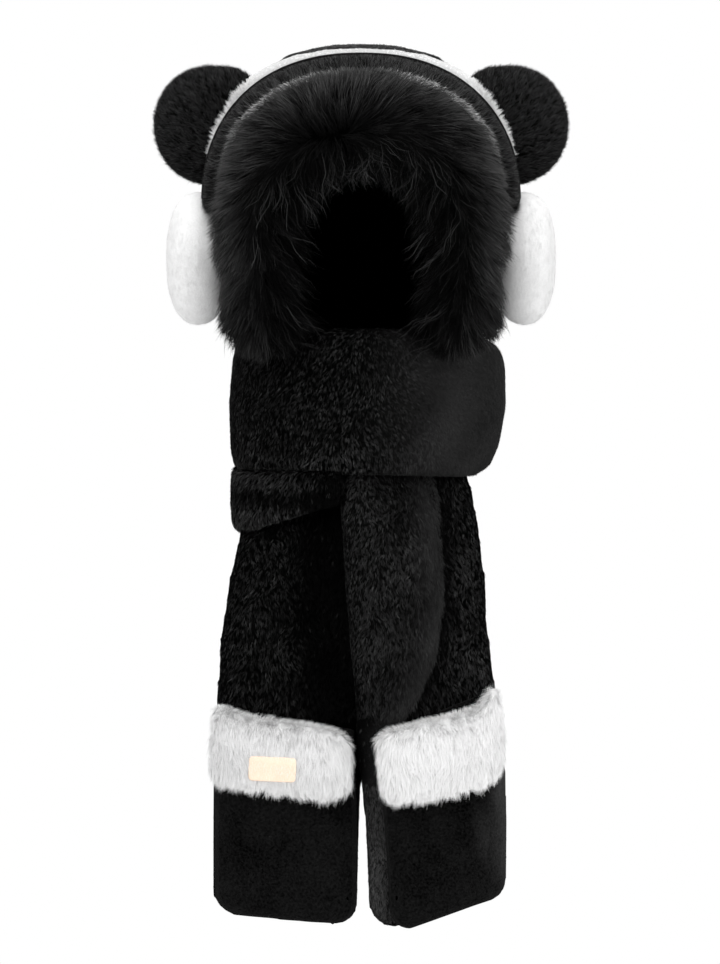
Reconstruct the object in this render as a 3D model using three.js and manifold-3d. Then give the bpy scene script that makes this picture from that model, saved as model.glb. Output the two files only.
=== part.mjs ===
// A plush hood with round bear ears, made in one piece with its scarf.
// Millimetres. X is the viewer's right, Y runs back from the face and Z runs up. The origin is the
// inside of the crown, where the head carries the hood.

import * as THREE from "three";
import { mergeVertices } from "three/addons/utils/BufferGeometryUtils.js";
import Module from "manifold-3d";

const wasm = await Module();
wasm.setup();

// Driving dimensions

const SEAM_GAP = 0.3;

// Hood: a padded shell with a dome above the brow and a narrower neck
const HOOD_WALL = 12;
const HOOD_TOP = 12;
const BROW_LEVEL = -141;
const HOOD_FRONT_POWER = 3;
const HOOD_BACK_POWER = 2.3;
const FACE_PLANE = -135;
const HOOD_SIDES = 24;
const FACE_CUT_SIZE = 500;
const DOME_BANDS = 7;
const HOOD_ROWS = [
  { down: 141, halfWidth: 142, front: 160, back: 95 },
  { down: 185, halfWidth: 141, front: 160, back: 94 },
  { down: 225, halfWidth: 128, front: 156, back: 84 },
  { down: 262, halfWidth: 108, front: 150, back: 64 },
  { down: 284, halfWidth: 100, front: 137, back: 56 },
  { down: 298, halfWidth: 98, front: 125, back: 54 },
];

// Headband and the white strip behind it: padded arches over the crown, both squarer than a circle
const ARCH_POWER = 2.15;
const HEADBAND = {
  halfSpan: 141,
  rise: 130.5,
  topY: -92,
  endY: -86,
  topTilt: 32,
  endTilt: 19,
  halfWidth: 21,
  topThick: 8,
  endThick: 9,
  fromAngle: -3,
  endLength: 10,
  stations: 26,
  sides: 10,
};
const WHITE_STRIP = {
  halfSpan: 152,
  rise: 141.5,
  topY: -57,
  endY: -56,
  topTilt: 20,
  endTilt: 10,
  halfWidth: 12,
  topThick: 6,
  endThick: 14,
  fromAngle: 16,
  endLength: 34,
  stations: 22,
  sides: 8,
};

// Ears: round stuffed discs
const EAR_RADIUS = 54;
const EAR_HALF_DEPTH = 23;
const EAR_POWER = 2.3;
const EAR_PLACE = { x: 143, y: -17, z: -64 };
const EAR_TURN = 8;

// Ear muffs: soft round pads on the sides of the hood
const MUFF_HALF_HEIGHT = 64;
const MUFF_HALF_LENGTH = 58;
const MUFF_HALF_DEPTH = 30;
const MUFF_POWER = 2.4;
const MUFF_PLACE = { x: 155, y: -43, z: -191 };
const DISC_SIDES = 22;
const DISC_STEPS = 8;

// Fur trim: one half of the roll's middle line, from its lower end to the top of the face opening
const FUR_LINE = [
  { across: 94, down: 272 },
  { across: 101, down: 226 },
  { across: 103, down: 176 },
  { across: 91, down: 112 },
  { across: 52, down: 77 },
  { across: 0, down: 66 },
];
const FUR_MIDDLE_Y = -152;
const FUR_STATIONS = 47;
const FUR_SIDES = 14;
const FUR_END_TAPER = 0.05;
// Half width of the roll towards the face, half depth in front and half width away from the face.
// Each is a valley between locks; a lock's tip stands out by reach and hangs down by drop.
const FUR_ROLL = { inward: 42, front: 30, outward: 42 };
const FUR_LOCK = { inward: 10, front: 4, outward: 11, drop: 9 };
// Locks that hang over the scarf from each end of the roll
const END_LOCKS = [
  { across: -106, tipAcross: -114, tipDown: 300 },
  { across: -92, tipAcross: -86, tipDown: 306 },
  { across: -76, tipAcross: -66, tipDown: 292 },
  { across: 108, tipAcross: 124, tipDown: 284 },
  { across: 94, tipAcross: 97, tipDown: 296 },
  { across: 78, tipAcross: 70, tipDown: 290 },
];
const END_LOCK_TOP = 256;
const END_LOCK_HALF_WIDTH = 13;
const END_LOCK_HALF_DEPTH = 11;

// Scarf turns round the neck: angles run from the right side over the back
const NECK_POWER = 2.3;
const NECK_WRAP = { middleX: 6.5, middleY: -35, halfWidth: 116, halfDepth: 103, halfThick: 15 };
// The first and last rows run past the join, so that the turn closes smoothly
const NECK_WRAP_ROWS = [
  { angle: -40, top: -262, bottom: -399 },
  { angle: -18, top: -268, bottom: -396 },
  { angle: 0, top: -274, bottom: -387 },
  { angle: 40, top: -264, bottom: -374 },
  { angle: 90, top: -256, bottom: -380 },
  { angle: 135, top: -258, bottom: -390 },
  { angle: 180, top: -262, bottom: -396 },
  { angle: 270, top: -257, bottom: -397 },
  { angle: 320, top: -262, bottom: -399 },
  { angle: 342, top: -268, bottom: -396 },
  { angle: 360, top: -274, bottom: -387 },
  { angle: 400, top: -264, bottom: -374 },
];
const NECK_WRAP_STATIONS = 28;
const UNDER_WRAP = { middleX: 2, middleY: -35, halfWidth: 115, halfDepth: 103, halfThick: 10.5 };
const UNDER_WRAP_ROWS = [
  { angle: 128, top: -392, bottom: -420 },
  { angle: 150, top: -385, bottom: -446 },
  { angle: 180, top: -385, bottom: -451 },
  { angle: 200, top: -385, bottom: -453 },
  { angle: 217, top: -385, bottom: -446 },
  { angle: 241, top: -385, bottom: -436 },
  { angle: 256, top: -388, bottom: -427 },
  { angle: 263, top: -390, bottom: -424 },
];
const UNDER_WRAP_STATIONS = 12;
const WRAP_POWER = 3.2;
const WRAP_SIDES = 12;

// Scarf ends: down, left and right place the edges, rise is how much higher the right edge is,
// front is the left edge's front face and turn is how far the right edge lies behind it.
const END_LEFT_ROWS = [
  { down: 372, left: -100, right: 8, rise: 0, front: -76, turn: -50, thick: 18 },
  { down: 410, left: -110, right: 8, rise: 0, front: -78, turn: -50, thick: 20 },
  { down: 460, left: -117, right: 10, rise: 0, front: -90, turn: -34, thick: 24 },
  { down: 520, left: -126, right: 14, rise: -2, front: -104, turn: -17, thick: 26 },
  { down: 592, left: -136, right: 11, rise: -5, front: -110, turn: -17, thick: 24 },
  { down: 640, left: -140, right: 4, rise: -8, front: -110, turn: -18, thick: 20 },
  { down: 720, left: -142, right: 0, rise: -9, front: -110, turn: -18, thick: 19 },
  { down: 815, left: -142, right: -3, rise: -9, front: -110, turn: -18, thick: 18 },
];
const END_RIGHT_ROWS = [
  { down: 372, left: -20, right: 94, rise: 0, front: -127, turn: 34, thick: 20 },
  { down: 400, left: -21, right: 103, rise: 0, front: -134, turn: 40, thick: 22 },
  { down: 440, left: -19, right: 111, rise: 3, front: -147, turn: 46, thick: 24 },
  { down: 516, left: -14, right: 119, rise: 10, front: -151, turn: 44, thick: 24 },
  { down: 592, left: -7.6, right: 123, rise: 22, front: -149, turn: 38, thick: 24 },
  { down: 650, left: -1, right: 132, rise: 31, front: -145, turn: 34, thick: 24 },
  { down: 744, left: 4.8, right: 139, rise: 36, front: -145, turn: 34, thick: 24 },
  { down: 830, left: 8, right: 139, rise: 29, front: -145, turn: 34, thick: 22 },
];
const END_CORNER = 20;
const END_SECTIONS = 11;
// Sections crowd towards the folded top of an end
const END_CROWDING = 1.35;
const END_STEPS = 12;
const END_EDGE_POWER = 5;

// Folds: the right end has a rolled lobe in front, the left end soft slanting waves near its top
const LOBE_ROWS = [
  { down: 372, right: 66, height: 3 },
  { down: 420, right: 74, height: 17 },
  { down: 516, right: 79, height: 23 },
  { down: 572, right: 71, height: 22 },
  { down: 612, right: 53, height: 15 },
  { down: 644, right: 30, height: 3 },
  { down: 830, right: 20, height: 0 },
];
const LOBE_POWER = 3.6;
const WAVE_HEIGHT = 3.5;
const WAVE_LENGTH = 62;
const WAVE_SLOPE = 0.75;
const WAVE_TOP = 440;
const WAVE_END = 640;
// The left end swells at its outer side and sinks where it passes under the right end
const SWELL = { x: -98, reach: 30, height: 8 };
const HOLLOW = { x: -28, reach: 27, height: -9 };
const SWELL_TOP = 430;
const SWELL_END = 660;
// Short slanting folds of the right end, beside the foot of its lobe
const CREASE_HEIGHT = 6;
const CREASE_LENGTH = 58;
const CREASE_SLOPE = 0.8;
const CREASE_TOP = 560;
const CREASE_END = 690;
const CREASE_SIDE = 20;

// Hand pockets: flat velvet pouches in front of the scarf ends
const POCKET_WALL = 4;
const POCKET_POWER = 3;
const POCKET_CORNER = 20;
const POCKET_SECTIONS = 4;
const POCKET_STEPS = 8;
// A pocket's seam lies this far behind its scarf end's front face, and its hand space's flat back
// this far in front of it
const POCKET_SEAM_DEPTH = 2;
const HAND_SPACE_BACK = -3.3;
const POCKET_LEFT_ROWS = [
  { down: 616, left: -138, right: -6, rise: -23, front: -134, turn: -18, thick: 48 },
  { down: 700, left: -140, right: -3.5, rise: -16, front: -138, turn: -18, thick: 56 },
  { down: 814, left: -140, right: -3.5, rise: -9, front: -135, turn: -18, thick: 50 },
];
const POCKET_RIGHT_ROWS = [
  { down: 646, left: 14, right: 136, rise: 50, front: -166, turn: 31, thick: 48 },
  { down: 716, left: 20, right: 138, rise: 34, front: -168, turn: 30, thick: 56 },
  { down: 828, left: 26, right: 138, rise: 26, front: -163, turn: 29, thick: 50 },
];
const MOUTH_CLEAR = 30;

// Cuffs: thick plush bands in front of the pocket mouths
const CUFF_POWER = 4;
const CUFF_CORNER = 12;
const CUFF_SECTIONS = 3;
const CUFF_STEPS = 8;
const CUFF_LEFT_ROWS = [
  { down: 614, left: -139, right: -9, rise: -23, front: -152, turn: -18, thick: 40 },
  { down: 652, left: -141.5, right: -7, rise: -20, front: -158, turn: -18, thick: 46 },
  { down: 690, left: -142, right: -7, rise: -18, front: -154, turn: -18, thick: 40 },
];
const CUFF_RIGHT_ROWS = [
  { down: 645, left: 11, right: 133, rise: 50, front: -183, turn: 31, thick: 40 },
  { down: 680, left: 15, right: 138.5, rise: 42, front: -189, turn: 31, thick: 46 },
  { down: 712, left: 18, right: 138, rise: 33, front: -185, turn: 30, thick: 40 },
];

// Patch: a small leather label on the left cuff
const PATCH = { x: -84, z: -676, width: 45, height: 23.5, corner: 4, thick: 1.8, tilt: -2.5 };
// The label's outline is carried forward through the cuff's front from here
const PATCH_FROM_Y = -144;
const PATCH_REACH = 80;

const FINISHES = {
  blackPlush: { color: 0x19191b, roughness: 0.95, metalness: 0 },
  blackFur: { color: 0x111112, roughness: 0.85, metalness: 0 },
  blackVelvet: { color: 0x151517, roughness: 0.9, metalness: 0 },
  whitePlush: { color: 0xf1f0f0, roughness: 0.95, metalness: 0 },
  peachLeather: { color: 0xf3d3b4, roughness: 0.55, metalness: 0 },
};

// Shared geometry

const radians = THREE.MathUtils.degToRad;

// A point of a rounded outline: a circle at power 2, squarer as the power rises
function roundPoint(angle, power) {
  const ease = (value) => Math.sign(value) * Math.abs(value) ** (2 / power);
  return { across: ease(Math.cos(angle)), along: ease(Math.sin(angle)) };
}

// The rounded thickness at a place from 0 to 1 across a flat piece
function edgeFullness(place, power) {
  return (1 - Math.abs(2 * place - 1) ** power) ** 0.5;
}

// All columns of a table at a place between its rows, carried smoothly through the rows
function rowAt(rows, key, place) {
  const after = rows.findIndex((row) => row[key] >= place);
  const last = rows.length - 1;
  const high = after < 1 ? (after === 0 ? 1 : last) : after;
  const low = high - 1;
  const part = THREE.MathUtils.clamp(
    (place - rows[low][key]) / (rows[high][key] - rows[low][key]), 0, 1);
  const result = {};
  for (const column of Object.keys(rows[0])) {
    const slope = (row) => {
      const before = Math.max(row - 1, 0);
      const next = Math.min(row + 1, last);
      return (rows[next][column] - rows[before][column]) / (rows[next][key] - rows[before][key]);
    };
    const span = rows[high][key] - rows[low][key];
    const square = part * part;
    const cube = square * part;
    result[column] = (2 * cube - 3 * square + 1) * rows[low][column]
      + (cube - 2 * square + part) * span * slope(low)
      + (3 * square - 2 * cube) * rows[high][column]
      + (cube - square) * span * slope(high);
  }
  return result;
}

// A closed skin through rings of points. A ring of one point is a tip; a loop joins its last ring to
// its first; any other end is closed by a fan to the middle of its ring.
function skin(rings, loop = false) {
  const points = [];
  const starts = rings.map((ring) => points.push(...ring) - ring.length);
  const faces = [];
  const spans = loop ? rings.length : rings.length - 1;
  for (let span = 0; span < spans; span += 1) {
    const other = (span + 1) % rings.length;
    const count = Math.max(rings[span].length, rings[other].length);
    const at = (ring, step) => starts[ring] + (step % rings[ring].length);
    for (let step = 0; step < count; step += 1) {
      const corners = [at(span, step), at(span, step + 1), at(other, step + 1), at(other, step)];
      if (corners[0] !== corners[1]) faces.push([corners[0], corners[1], corners[2]]);
      if (corners[2] !== corners[3]) faces.push([corners[0], corners[2], corners[3]]);
    }
  }
  for (const end of loop ? [] : [0, rings.length - 1]) {
    const ring = rings[end];
    if (ring.length > 1) {
      const middle = new THREE.Vector3();
      ring.forEach((point) => middle.add(point));
      points.push(middle.divideScalar(ring.length));
      for (let step = 0; step < ring.length; step += 1) {
        const pair = [starts[end] + step, starts[end] + ((step + 1) % ring.length)];
        if (end === 0) pair.reverse();
        faces.push([points.length - 1, ...pair]);
      }
    }
  }
  return outwardGeometry(points, faces);
}

// Geometry whose faces all point out of the solid
function outwardGeometry(points, faces) {
  let volume = 0;
  for (const [a, b, c] of faces) {
    volume += points[a].dot(new THREE.Vector3().crossVectors(points[b], points[c]));
  }
  const turned = volume < 0 ? faces.map(([a, b, c]) => [a, c, b]) : faces;
  const geometry = new THREE.BufferGeometry().setFromPoints(points);
  geometry.setIndex(turned.flat());
  return geometry;
}

// A solid that can be cut or joined, from a closed geometry
function solidOf(geometry) {
  const plain = geometry.clone();
  plain.deleteAttribute("normal");
  plain.deleteAttribute("uv");
  const merged = mergeVertices(plain, 1e-4);
  return new wasm.Manifold(new wasm.Mesh({
    numProp: 3,
    vertProperties: new Float32Array(merged.attributes.position.array),
    triVerts: new Uint32Array(merged.index.array),
  }));
}

// A solid with all of its neighbours' room taken out
function cutBy(body, neighbours) {
  return neighbours.reduce((rest, neighbour) => rest.subtract(neighbour), body);
}

// A named mesh with its own material
function piece(name, body, finish) {
  const { vertProperties, triVerts } = body.getMesh();
  const geometry = new THREE.BufferGeometry();
  geometry.setAttribute("position", new THREE.Float32BufferAttribute(vertProperties, 3));
  geometry.setIndex(Array.from(triVerts));
  geometry.computeVertexNormals();
  const mesh = new THREE.Mesh(geometry, new THREE.MeshStandardMaterial(FINISHES[finish]));
  mesh.name = name;
  return mesh;
}

// Hood

// The hood's full form before the face is cut open, larger by grow on every side
function hoodForm(grow) {
  const ring = (level, scale, row) => {
    const points = [];
    for (let side = 0; side < HOOD_SIDES; side += 1) {
      const angle = (side / HOOD_SIDES) * 2 * Math.PI;
      const inFront = Math.sin(angle) < 0;
      const spot = roundPoint(angle, inFront ? HOOD_FRONT_POWER : HOOD_BACK_POWER);
      const depth = (inFront ? row.front : row.back) + grow;
      const x = scale * (row.halfWidth + grow) * spot.across;
      points.push(new THREE.Vector3(x, scale * depth * spot.along, level));
    }
    return points;
  };
  const brow = HOOD_ROWS[0];
  const height = HOOD_TOP - BROW_LEVEL + grow;
  const rings = [[new THREE.Vector3(0, 0, HOOD_TOP + grow)]];
  for (let band = 1; band < DOME_BANDS; band += 1) {
    const latitude = (1 - band / DOME_BANDS) * (Math.PI / 2);
    rings.push(ring(BROW_LEVEL + height * Math.sin(latitude), Math.cos(latitude), brow));
  }
  for (const row of HOOD_ROWS) {
    rings.push(ring(-row.down, 1, row));
  }
  const neck = HOOD_ROWS.at(-1);
  rings.push(ring(-neck.down - Math.abs(grow), 1, neck));
  return solidOf(skin(rings));
}

// The hood's outside, cut off flat at the face
function hoodOutside(grow) {
  const front = new THREE.BoxGeometry(FACE_CUT_SIZE, FACE_CUT_SIZE, 2 * FACE_CUT_SIZE);
  front.translate(0, FACE_PLANE - grow - FACE_CUT_SIZE / 2, 0);
  return hoodForm(grow).subtract(solidOf(front));
}

// Headband and white strip

// A padded arch that lies on the slope of the crown, with rounded ends
function archForm(arch, grow) {
  const rings = [];
  const toAngle = 180 - arch.fromAngle;
  const placeAt = (turn) => {
    const spot = roundPoint(radians(turn), ARCH_POWER);
    const x = arch.halfSpan * spot.across;
    return new THREE.Vector3(x, 0, BROW_LEVEL + arch.rise * spot.along);
  };
  const reach = radians(toAngle - arch.fromAngle) * arch.rise;
  for (let station = 0; station <= arch.stations; station += 1) {
    // Stations gather towards the two ends, where the arch is rounded off
    const part = 0.5 - 0.5 * Math.cos((Math.PI * station) / arch.stations);
    const turn = THREE.MathUtils.lerp(arch.fromAngle, toAngle, part);
    const fromEnd = Math.min(part, 1 - part) * reach;
    const fullness = Math.sqrt(1 - (1 - Math.min(fromEnd / arch.endLength, 1)) ** 2);
    const towardsEnd = Math.abs(Math.cos(radians(turn)));
    const tilt = radians(THREE.MathUtils.lerp(arch.topTilt, arch.endTilt, towardsEnd));
    const thick = THREE.MathUtils.lerp(arch.topThick, arch.endThick, towardsEnd) + grow;
    const width = arch.halfWidth + grow;
    const middle = placeAt(turn);
    middle.y = THREE.MathUtils.lerp(arch.topY, arch.endY, towardsEnd);
    const ahead = placeAt(turn + 0.5).sub(placeAt(turn - 0.5)).normalize();
    const outward = new THREE.Vector3(ahead.z, 0, -ahead.x);
    if (fullness === 0) {
      rings.push([middle]);
    } else {
      const ring = [];
      for (let side = 0; side < arch.sides; side += 1) {
        const spot = roundPoint((side / arch.sides) * 2 * Math.PI, 2.6);
        const along = width * fullness * spot.across;
        const proud = thick * fullness * spot.along;
        const point = middle.clone();
        point.y += along * Math.cos(tilt) - proud * Math.sin(tilt);
        point.addScaledVector(outward, along * Math.sin(tilt) + proud * Math.cos(tilt));
        ring.push(point);
      }
      rings.push(ring);
    }
  }
  return solidOf(skin(rings));
}

// Ears and ear muffs

// A soft disc whose axis is Y
function discForm(radius, halfDepth, power, grow) {
  const profile = [];
  for (let step = 0; step <= DISC_STEPS; step += 1) {
    const spot = roundPoint((step / DISC_STEPS - 0.5) * Math.PI, power);
    const edge = step === 0 || step === DISC_STEPS ? 0 : (radius + grow) * spot.across;
    profile.push(new THREE.Vector2(edge, (halfDepth + grow) * spot.along));
  }
  return new THREE.LatheGeometry(profile, DISC_SIDES);
}

// The ear on one side, -1 for the left and 1 for the right
function earForm(side, grow) {
  const disc = discForm(EAR_RADIUS, EAR_HALF_DEPTH, EAR_POWER, grow);
  disc.rotateZ(radians(side * EAR_TURN));
  disc.translate(side * EAR_PLACE.x, EAR_PLACE.y, EAR_PLACE.z);
  return solidOf(disc);
}

// The ear muff on one side: a disc that faces sideways, a little shorter than it is high
function muffForm(side, grow) {
  const disc = discForm(MUFF_HALF_HEIGHT, MUFF_HALF_DEPTH, MUFF_POWER, grow);
  disc.rotateZ(radians(90));
  disc.scale(1, MUFF_HALF_LENGTH / MUFF_HALF_HEIGHT, 1);
  disc.translate(side * MUFF_PLACE.x, MUFF_PLACE.y, MUFF_PLACE.z);
  return solidOf(disc);
}

// Fur trim

// The middle line of the roll, from its left end over the forehead to its right end
function furLine() {
  const left = FUR_LINE.map((row) => new THREE.Vector3(-row.across, FUR_MIDDLE_Y, -row.down));
  const right = FUR_LINE.slice(0, -1).reverse();
  const rest = right.map((row) => new THREE.Vector3(row.across, FUR_MIDDLE_Y, -row.down));
  return new THREE.CatmullRomCurve3([...left, ...rest]);
}

// The roll itself. Its points stand out and fall back by turns, along the roll and round it, so that
// it is covered in short locks whose tips hang down at the sides. Its ends are drawn in.
function furRoll(line) {
  const rings = [];
  for (let station = 0; station <= FUR_STATIONS; station += 1) {
    const place = station / FUR_STATIONS;
    const fromEnd = Math.min(place, 1 - place) / FUR_END_TAPER;
    const size = THREE.MathUtils.lerp(0.3, 1, Math.sqrt(1 - (1 - Math.min(fromEnd, 1)) ** 2));
    const middle = line.getPointAt(place);
    const along = line.getTangentAt(place);
    const inward = new THREE.Vector3(along.z, 0, -along.x);
    const ring = [];
    for (let side = 0; side < FUR_SIDES; side += 1) {
      const angle = (side / FUR_SIDES) * 2 * Math.PI;
      const isTip = (station + side) % 2 === 0 ? 1 : 0;
      const facing = Math.cos(angle) > 0 ? "inward" : "outward";
      const wide = FUR_ROLL[facing] + isTip * FUR_LOCK[facing];
      const deep = FUR_ROLL.front + isTip * FUR_LOCK.front;
      const point = middle.clone();
      point.addScaledVector(inward, size * wide * Math.cos(angle));
      point.y += size * deep * Math.sin(angle);
      point.z -= isTip * FUR_LOCK.drop * Math.abs(along.z);
      ring.push(point);
    }
    rings.push(ring);
  }
  return solidOf(skin(rings));
}

// One hanging lock: a four-sided strip that bends forward and ends in a point
function hangingLock(row) {
  const root = new THREE.Vector3(row.across, FUR_MIDDLE_Y - 4, -END_LOCK_TOP);
  const tip = new THREE.Vector3(row.tipAcross, FUR_MIDDLE_Y - 14, -row.tipDown);
  const bend = root.clone().lerp(tip, 0.5);
  bend.y -= 5;
  const rings = [root, bend].map((middle) => [
    middle.clone().add(new THREE.Vector3(END_LOCK_HALF_WIDTH, 0, 0)),
    middle.clone().add(new THREE.Vector3(0, END_LOCK_HALF_DEPTH, 0)),
    middle.clone().add(new THREE.Vector3(-END_LOCK_HALF_WIDTH, 0, 0)),
    middle.clone().add(new THREE.Vector3(0, -END_LOCK_HALF_DEPTH, 0)),
  ]);
  return solidOf(skin([...rings, [tip]]));
}

// The whole trim: the roll and the locks that hang from its ends
function furForm() {
  const locks = END_LOCKS.map(hangingLock);
  return locks.reduce((whole, lock) => whole.add(lock), furRoll(furLine()));
}

// Scarf turns

// One section of a turn: a tall band that stands round the neck
function wrapRing(wrap, row, grow) {
  const turn = radians(row.angle);
  const spot = roundPoint(turn, NECK_POWER);
  const middle = new THREE.Vector3(
    wrap.middleX + wrap.halfWidth * spot.across,
    wrap.middleY + wrap.halfDepth * spot.along,
    (row.top + row.bottom) / 2,
  );
  const outward = new THREE.Vector3(
    Math.cos(turn) / wrap.halfWidth,
    Math.sin(turn) / wrap.halfDepth,
    0,
  ).normalize();
  const ring = [];
  for (let side = 0; side < WRAP_SIDES; side += 1) {
    const corner = roundPoint((side / WRAP_SIDES) * 2 * Math.PI, WRAP_POWER);
    const point = middle.clone();
    point.addScaledVector(outward, (wrap.halfThick + grow) * corner.across);
    point.z += ((row.top - row.bottom) / 2 + grow) * corner.along;
    ring.push(point);
  }
  return ring;
}

// The upper turn, a whole ring
function neckWrapForm(grow) {
  const rings = [];
  for (let station = 0; station < NECK_WRAP_STATIONS; station += 1) {
    const angle = (station / NECK_WRAP_STATIONS) * 360;
    const row = { ...rowAt(NECK_WRAP_ROWS, "angle", angle), angle };
    rings.push(wrapRing(NECK_WRAP, row, grow));
  }
  return solidOf(skin(rings, true));
}

// The lower turn, of which only the left side hangs below the upper one
function underWrapForm(grow) {
  const rings = [];
  const from = UNDER_WRAP_ROWS[0].angle;
  const to = UNDER_WRAP_ROWS.at(-1).angle;
  for (let station = 0; station <= UNDER_WRAP_STATIONS; station += 1) {
    const angle = THREE.MathUtils.lerp(from, to, station / UNDER_WRAP_STATIONS);
    const row = { ...rowAt(UNDER_WRAP_ROWS, "angle", angle), angle };
    rings.push(wrapRing(UNDER_WRAP, row, grow));
  }
  return solidOf(skin(rings));
}

// Scarf ends, pockets and cuffs

// A flat hanging form: a table gives its edges, relief raises its front face, and its lower
// corners, or its upper ones too, are rounded off. Its side edges lie half way through it, or where
// flatBack says, as the distance behind that middle, and then its back is flat.
function hangingForm(shape, grow) {
  const { rows, steps, sections, corner, power, crowding = 1 } = shape;
  const top = rows[0].down - grow;
  const bottom = rows.at(-1).down + grow;
  const levels = [];
  const cornerTurns = [0.25, 0.5, 0.75, 0.97];
  for (const turn of shape.roundTop ? cornerTurns.toReversed() : []) {
    const angle = (turn * Math.PI) / 2;
    levels.push({ down: top + corner * (1 - Math.sin(angle)), tuck: 1 - Math.cos(angle) });
  }
  const straightTop = shape.roundTop ? top + corner : top;
  for (let section = 0; section <= sections; section += 1) {
    const part = (section / sections) ** crowding;
    levels.push({ down: THREE.MathUtils.lerp(straightTop, bottom - corner, part), tuck: 0 });
  }
  for (const turn of cornerTurns) {
    const angle = (turn * Math.PI) / 2;
    levels.push({ down: bottom - corner * (1 - Math.sin(angle)), tuck: 1 - Math.cos(angle) });
  }
  const rings = levels.map(({ down, tuck }) => {
    const row = rowAt(rows, "down", down);
    const left = row.left - grow + corner * tuck;
    const right = row.right + grow - corner * tuck;
    const half = (row.thick / 2 + grow) * (1 - 0.55 * tuck);
    const seam = shape.flatBack === undefined ? 0 : shape.flatBack + grow;
    const backHalf = shape.flatBack === undefined ? half : 0;
    const pointAt = (place, isFront) => {
      const x = THREE.MathUtils.lerp(left, right, place);
      const relief = isFront && shape.relief ? shape.relief(x, down, row) : 0;
      const reach = isFront ? -(half + seam + relief) : backHalf;
      const middle = row.front + row.thick / 2 + row.turn * place + seam;
      const y = middle + reach * edgeFullness(place, power);
      return new THREE.Vector3(x, y, -down + row.rise * place);
    };
    const ring = [];
    for (let step = 0; step <= steps; step += 1) {
      ring.push(pointAt(0.5 - 0.5 * Math.cos((Math.PI * step) / steps), true));
    }
    // The back has half as many points as the folded front
    for (let step = steps - 2; step > 0; step -= 2) {
      ring.push(pointAt(0.5 - 0.5 * Math.cos((Math.PI * step) / steps), false));
    }
    return ring;
  });
  return solidOf(skin(rings));
}

// A smooth rise from 0 and fall back to 0 between two levels
function between(value, from, to) {
  return Math.sin(Math.PI * THREE.MathUtils.clamp((value - from) / (to - from), 0, 1));
}

// Slanting waves of an end's front face
function slantWave(x, down, length, slope) {
  return Math.sin(((down + slope * x) / length) * 2 * Math.PI);
}

// Height of the rolled lobe in front of the right end, and of the folds beside its foot
function lobeRelief(x, down, row) {
  const lobe = rowAt(LOBE_ROWS, "down", down);
  const place = (x - row.left) / (lobe.right - row.left);
  if (place > 0 && place < 1) return Math.max(lobe.height, 0) * edgeFullness(place, LOBE_POWER);
  const beside = THREE.MathUtils.clamp((x - lobe.right) / CREASE_SIDE, 0, 1);
  const crease = slantWave(x, down, CREASE_LENGTH, CREASE_SLOPE);
  return CREASE_HEIGHT * beside * between(down, CREASE_TOP, CREASE_END) * crease;
}

// Waves near the top of the left end, over its swell and its hollow
function waveRelief(x, down) {
  const mound = (form) => form.height * Math.exp(-(((x - form.x) / form.reach) ** 2));
  const wave = slantWave(x, down, WAVE_LENGTH, WAVE_SLOPE);
  return between(down, SWELL_TOP, SWELL_END) * (mound(SWELL) + mound(HOLLOW))
    + WAVE_HEIGHT * between(down, WAVE_TOP, WAVE_END) * wave;
}

const scarfEnd = (rows, relief) => ({
  rows,
  relief,
  steps: END_STEPS,
  sections: END_SECTIONS,
  crowding: END_CROWDING,
  corner: END_CORNER,
  power: END_EDGE_POWER,
});
const SCARF_END_LEFT = scarfEnd(END_LEFT_ROWS, waveRelief);
const SCARF_END_RIGHT = scarfEnd(END_RIGHT_ROWS, lobeRelief);

const pocketOutside = (rows) => ({
  rows,
  steps: POCKET_STEPS,
  sections: POCKET_SECTIONS,
  corner: POCKET_CORNER,
  power: POCKET_POWER,
  flatBack: POCKET_SEAM_DEPTH,
});

// A pocket's table carried straight up through its mouth
function throughMouth(rows) {
  return [{ ...rows[0], down: rows[0].down - MOUTH_CLEAR }, ...rows];
}

// The hand space of a pocket: its outside drawn in by the wall
const handSpace = (rows) => ({
  ...pocketOutside(throughMouth(rows)),
  flatBack: HAND_SPACE_BACK + POCKET_WALL,
});

const cuffShape = (rows) => ({
  rows,
  steps: CUFF_STEPS,
  sections: CUFF_SECTIONS,
  corner: CUFF_CORNER,
  power: CUFF_POWER,
  roundTop: true,
});

// A pouch that lies on its scarf end, clear of the other end
function pocketForm(rows, ownEnd, otherEnd) {
  const hollow = hangingForm(handSpace(rows), -POCKET_WALL);
  const ends = [ownEnd, otherEnd].map((end) => hangingForm(end, SEAM_GAP));
  return cutBy(hangingForm(pocketOutside(rows), 0), [hollow, ...ends]);
}

// A cuff that lies on its pocket, clear of the mouth
function cuffForm(rows, pocketRows, ends) {
  const pocket = hangingForm(pocketOutside(pocketRows), SEAM_GAP);
  const mouth = hangingForm(handSpace(pocketRows), -POCKET_WALL);
  return cutBy(hangingForm(cuffShape(rows), 0), [pocket, mouth, ...ends]);
}

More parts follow.
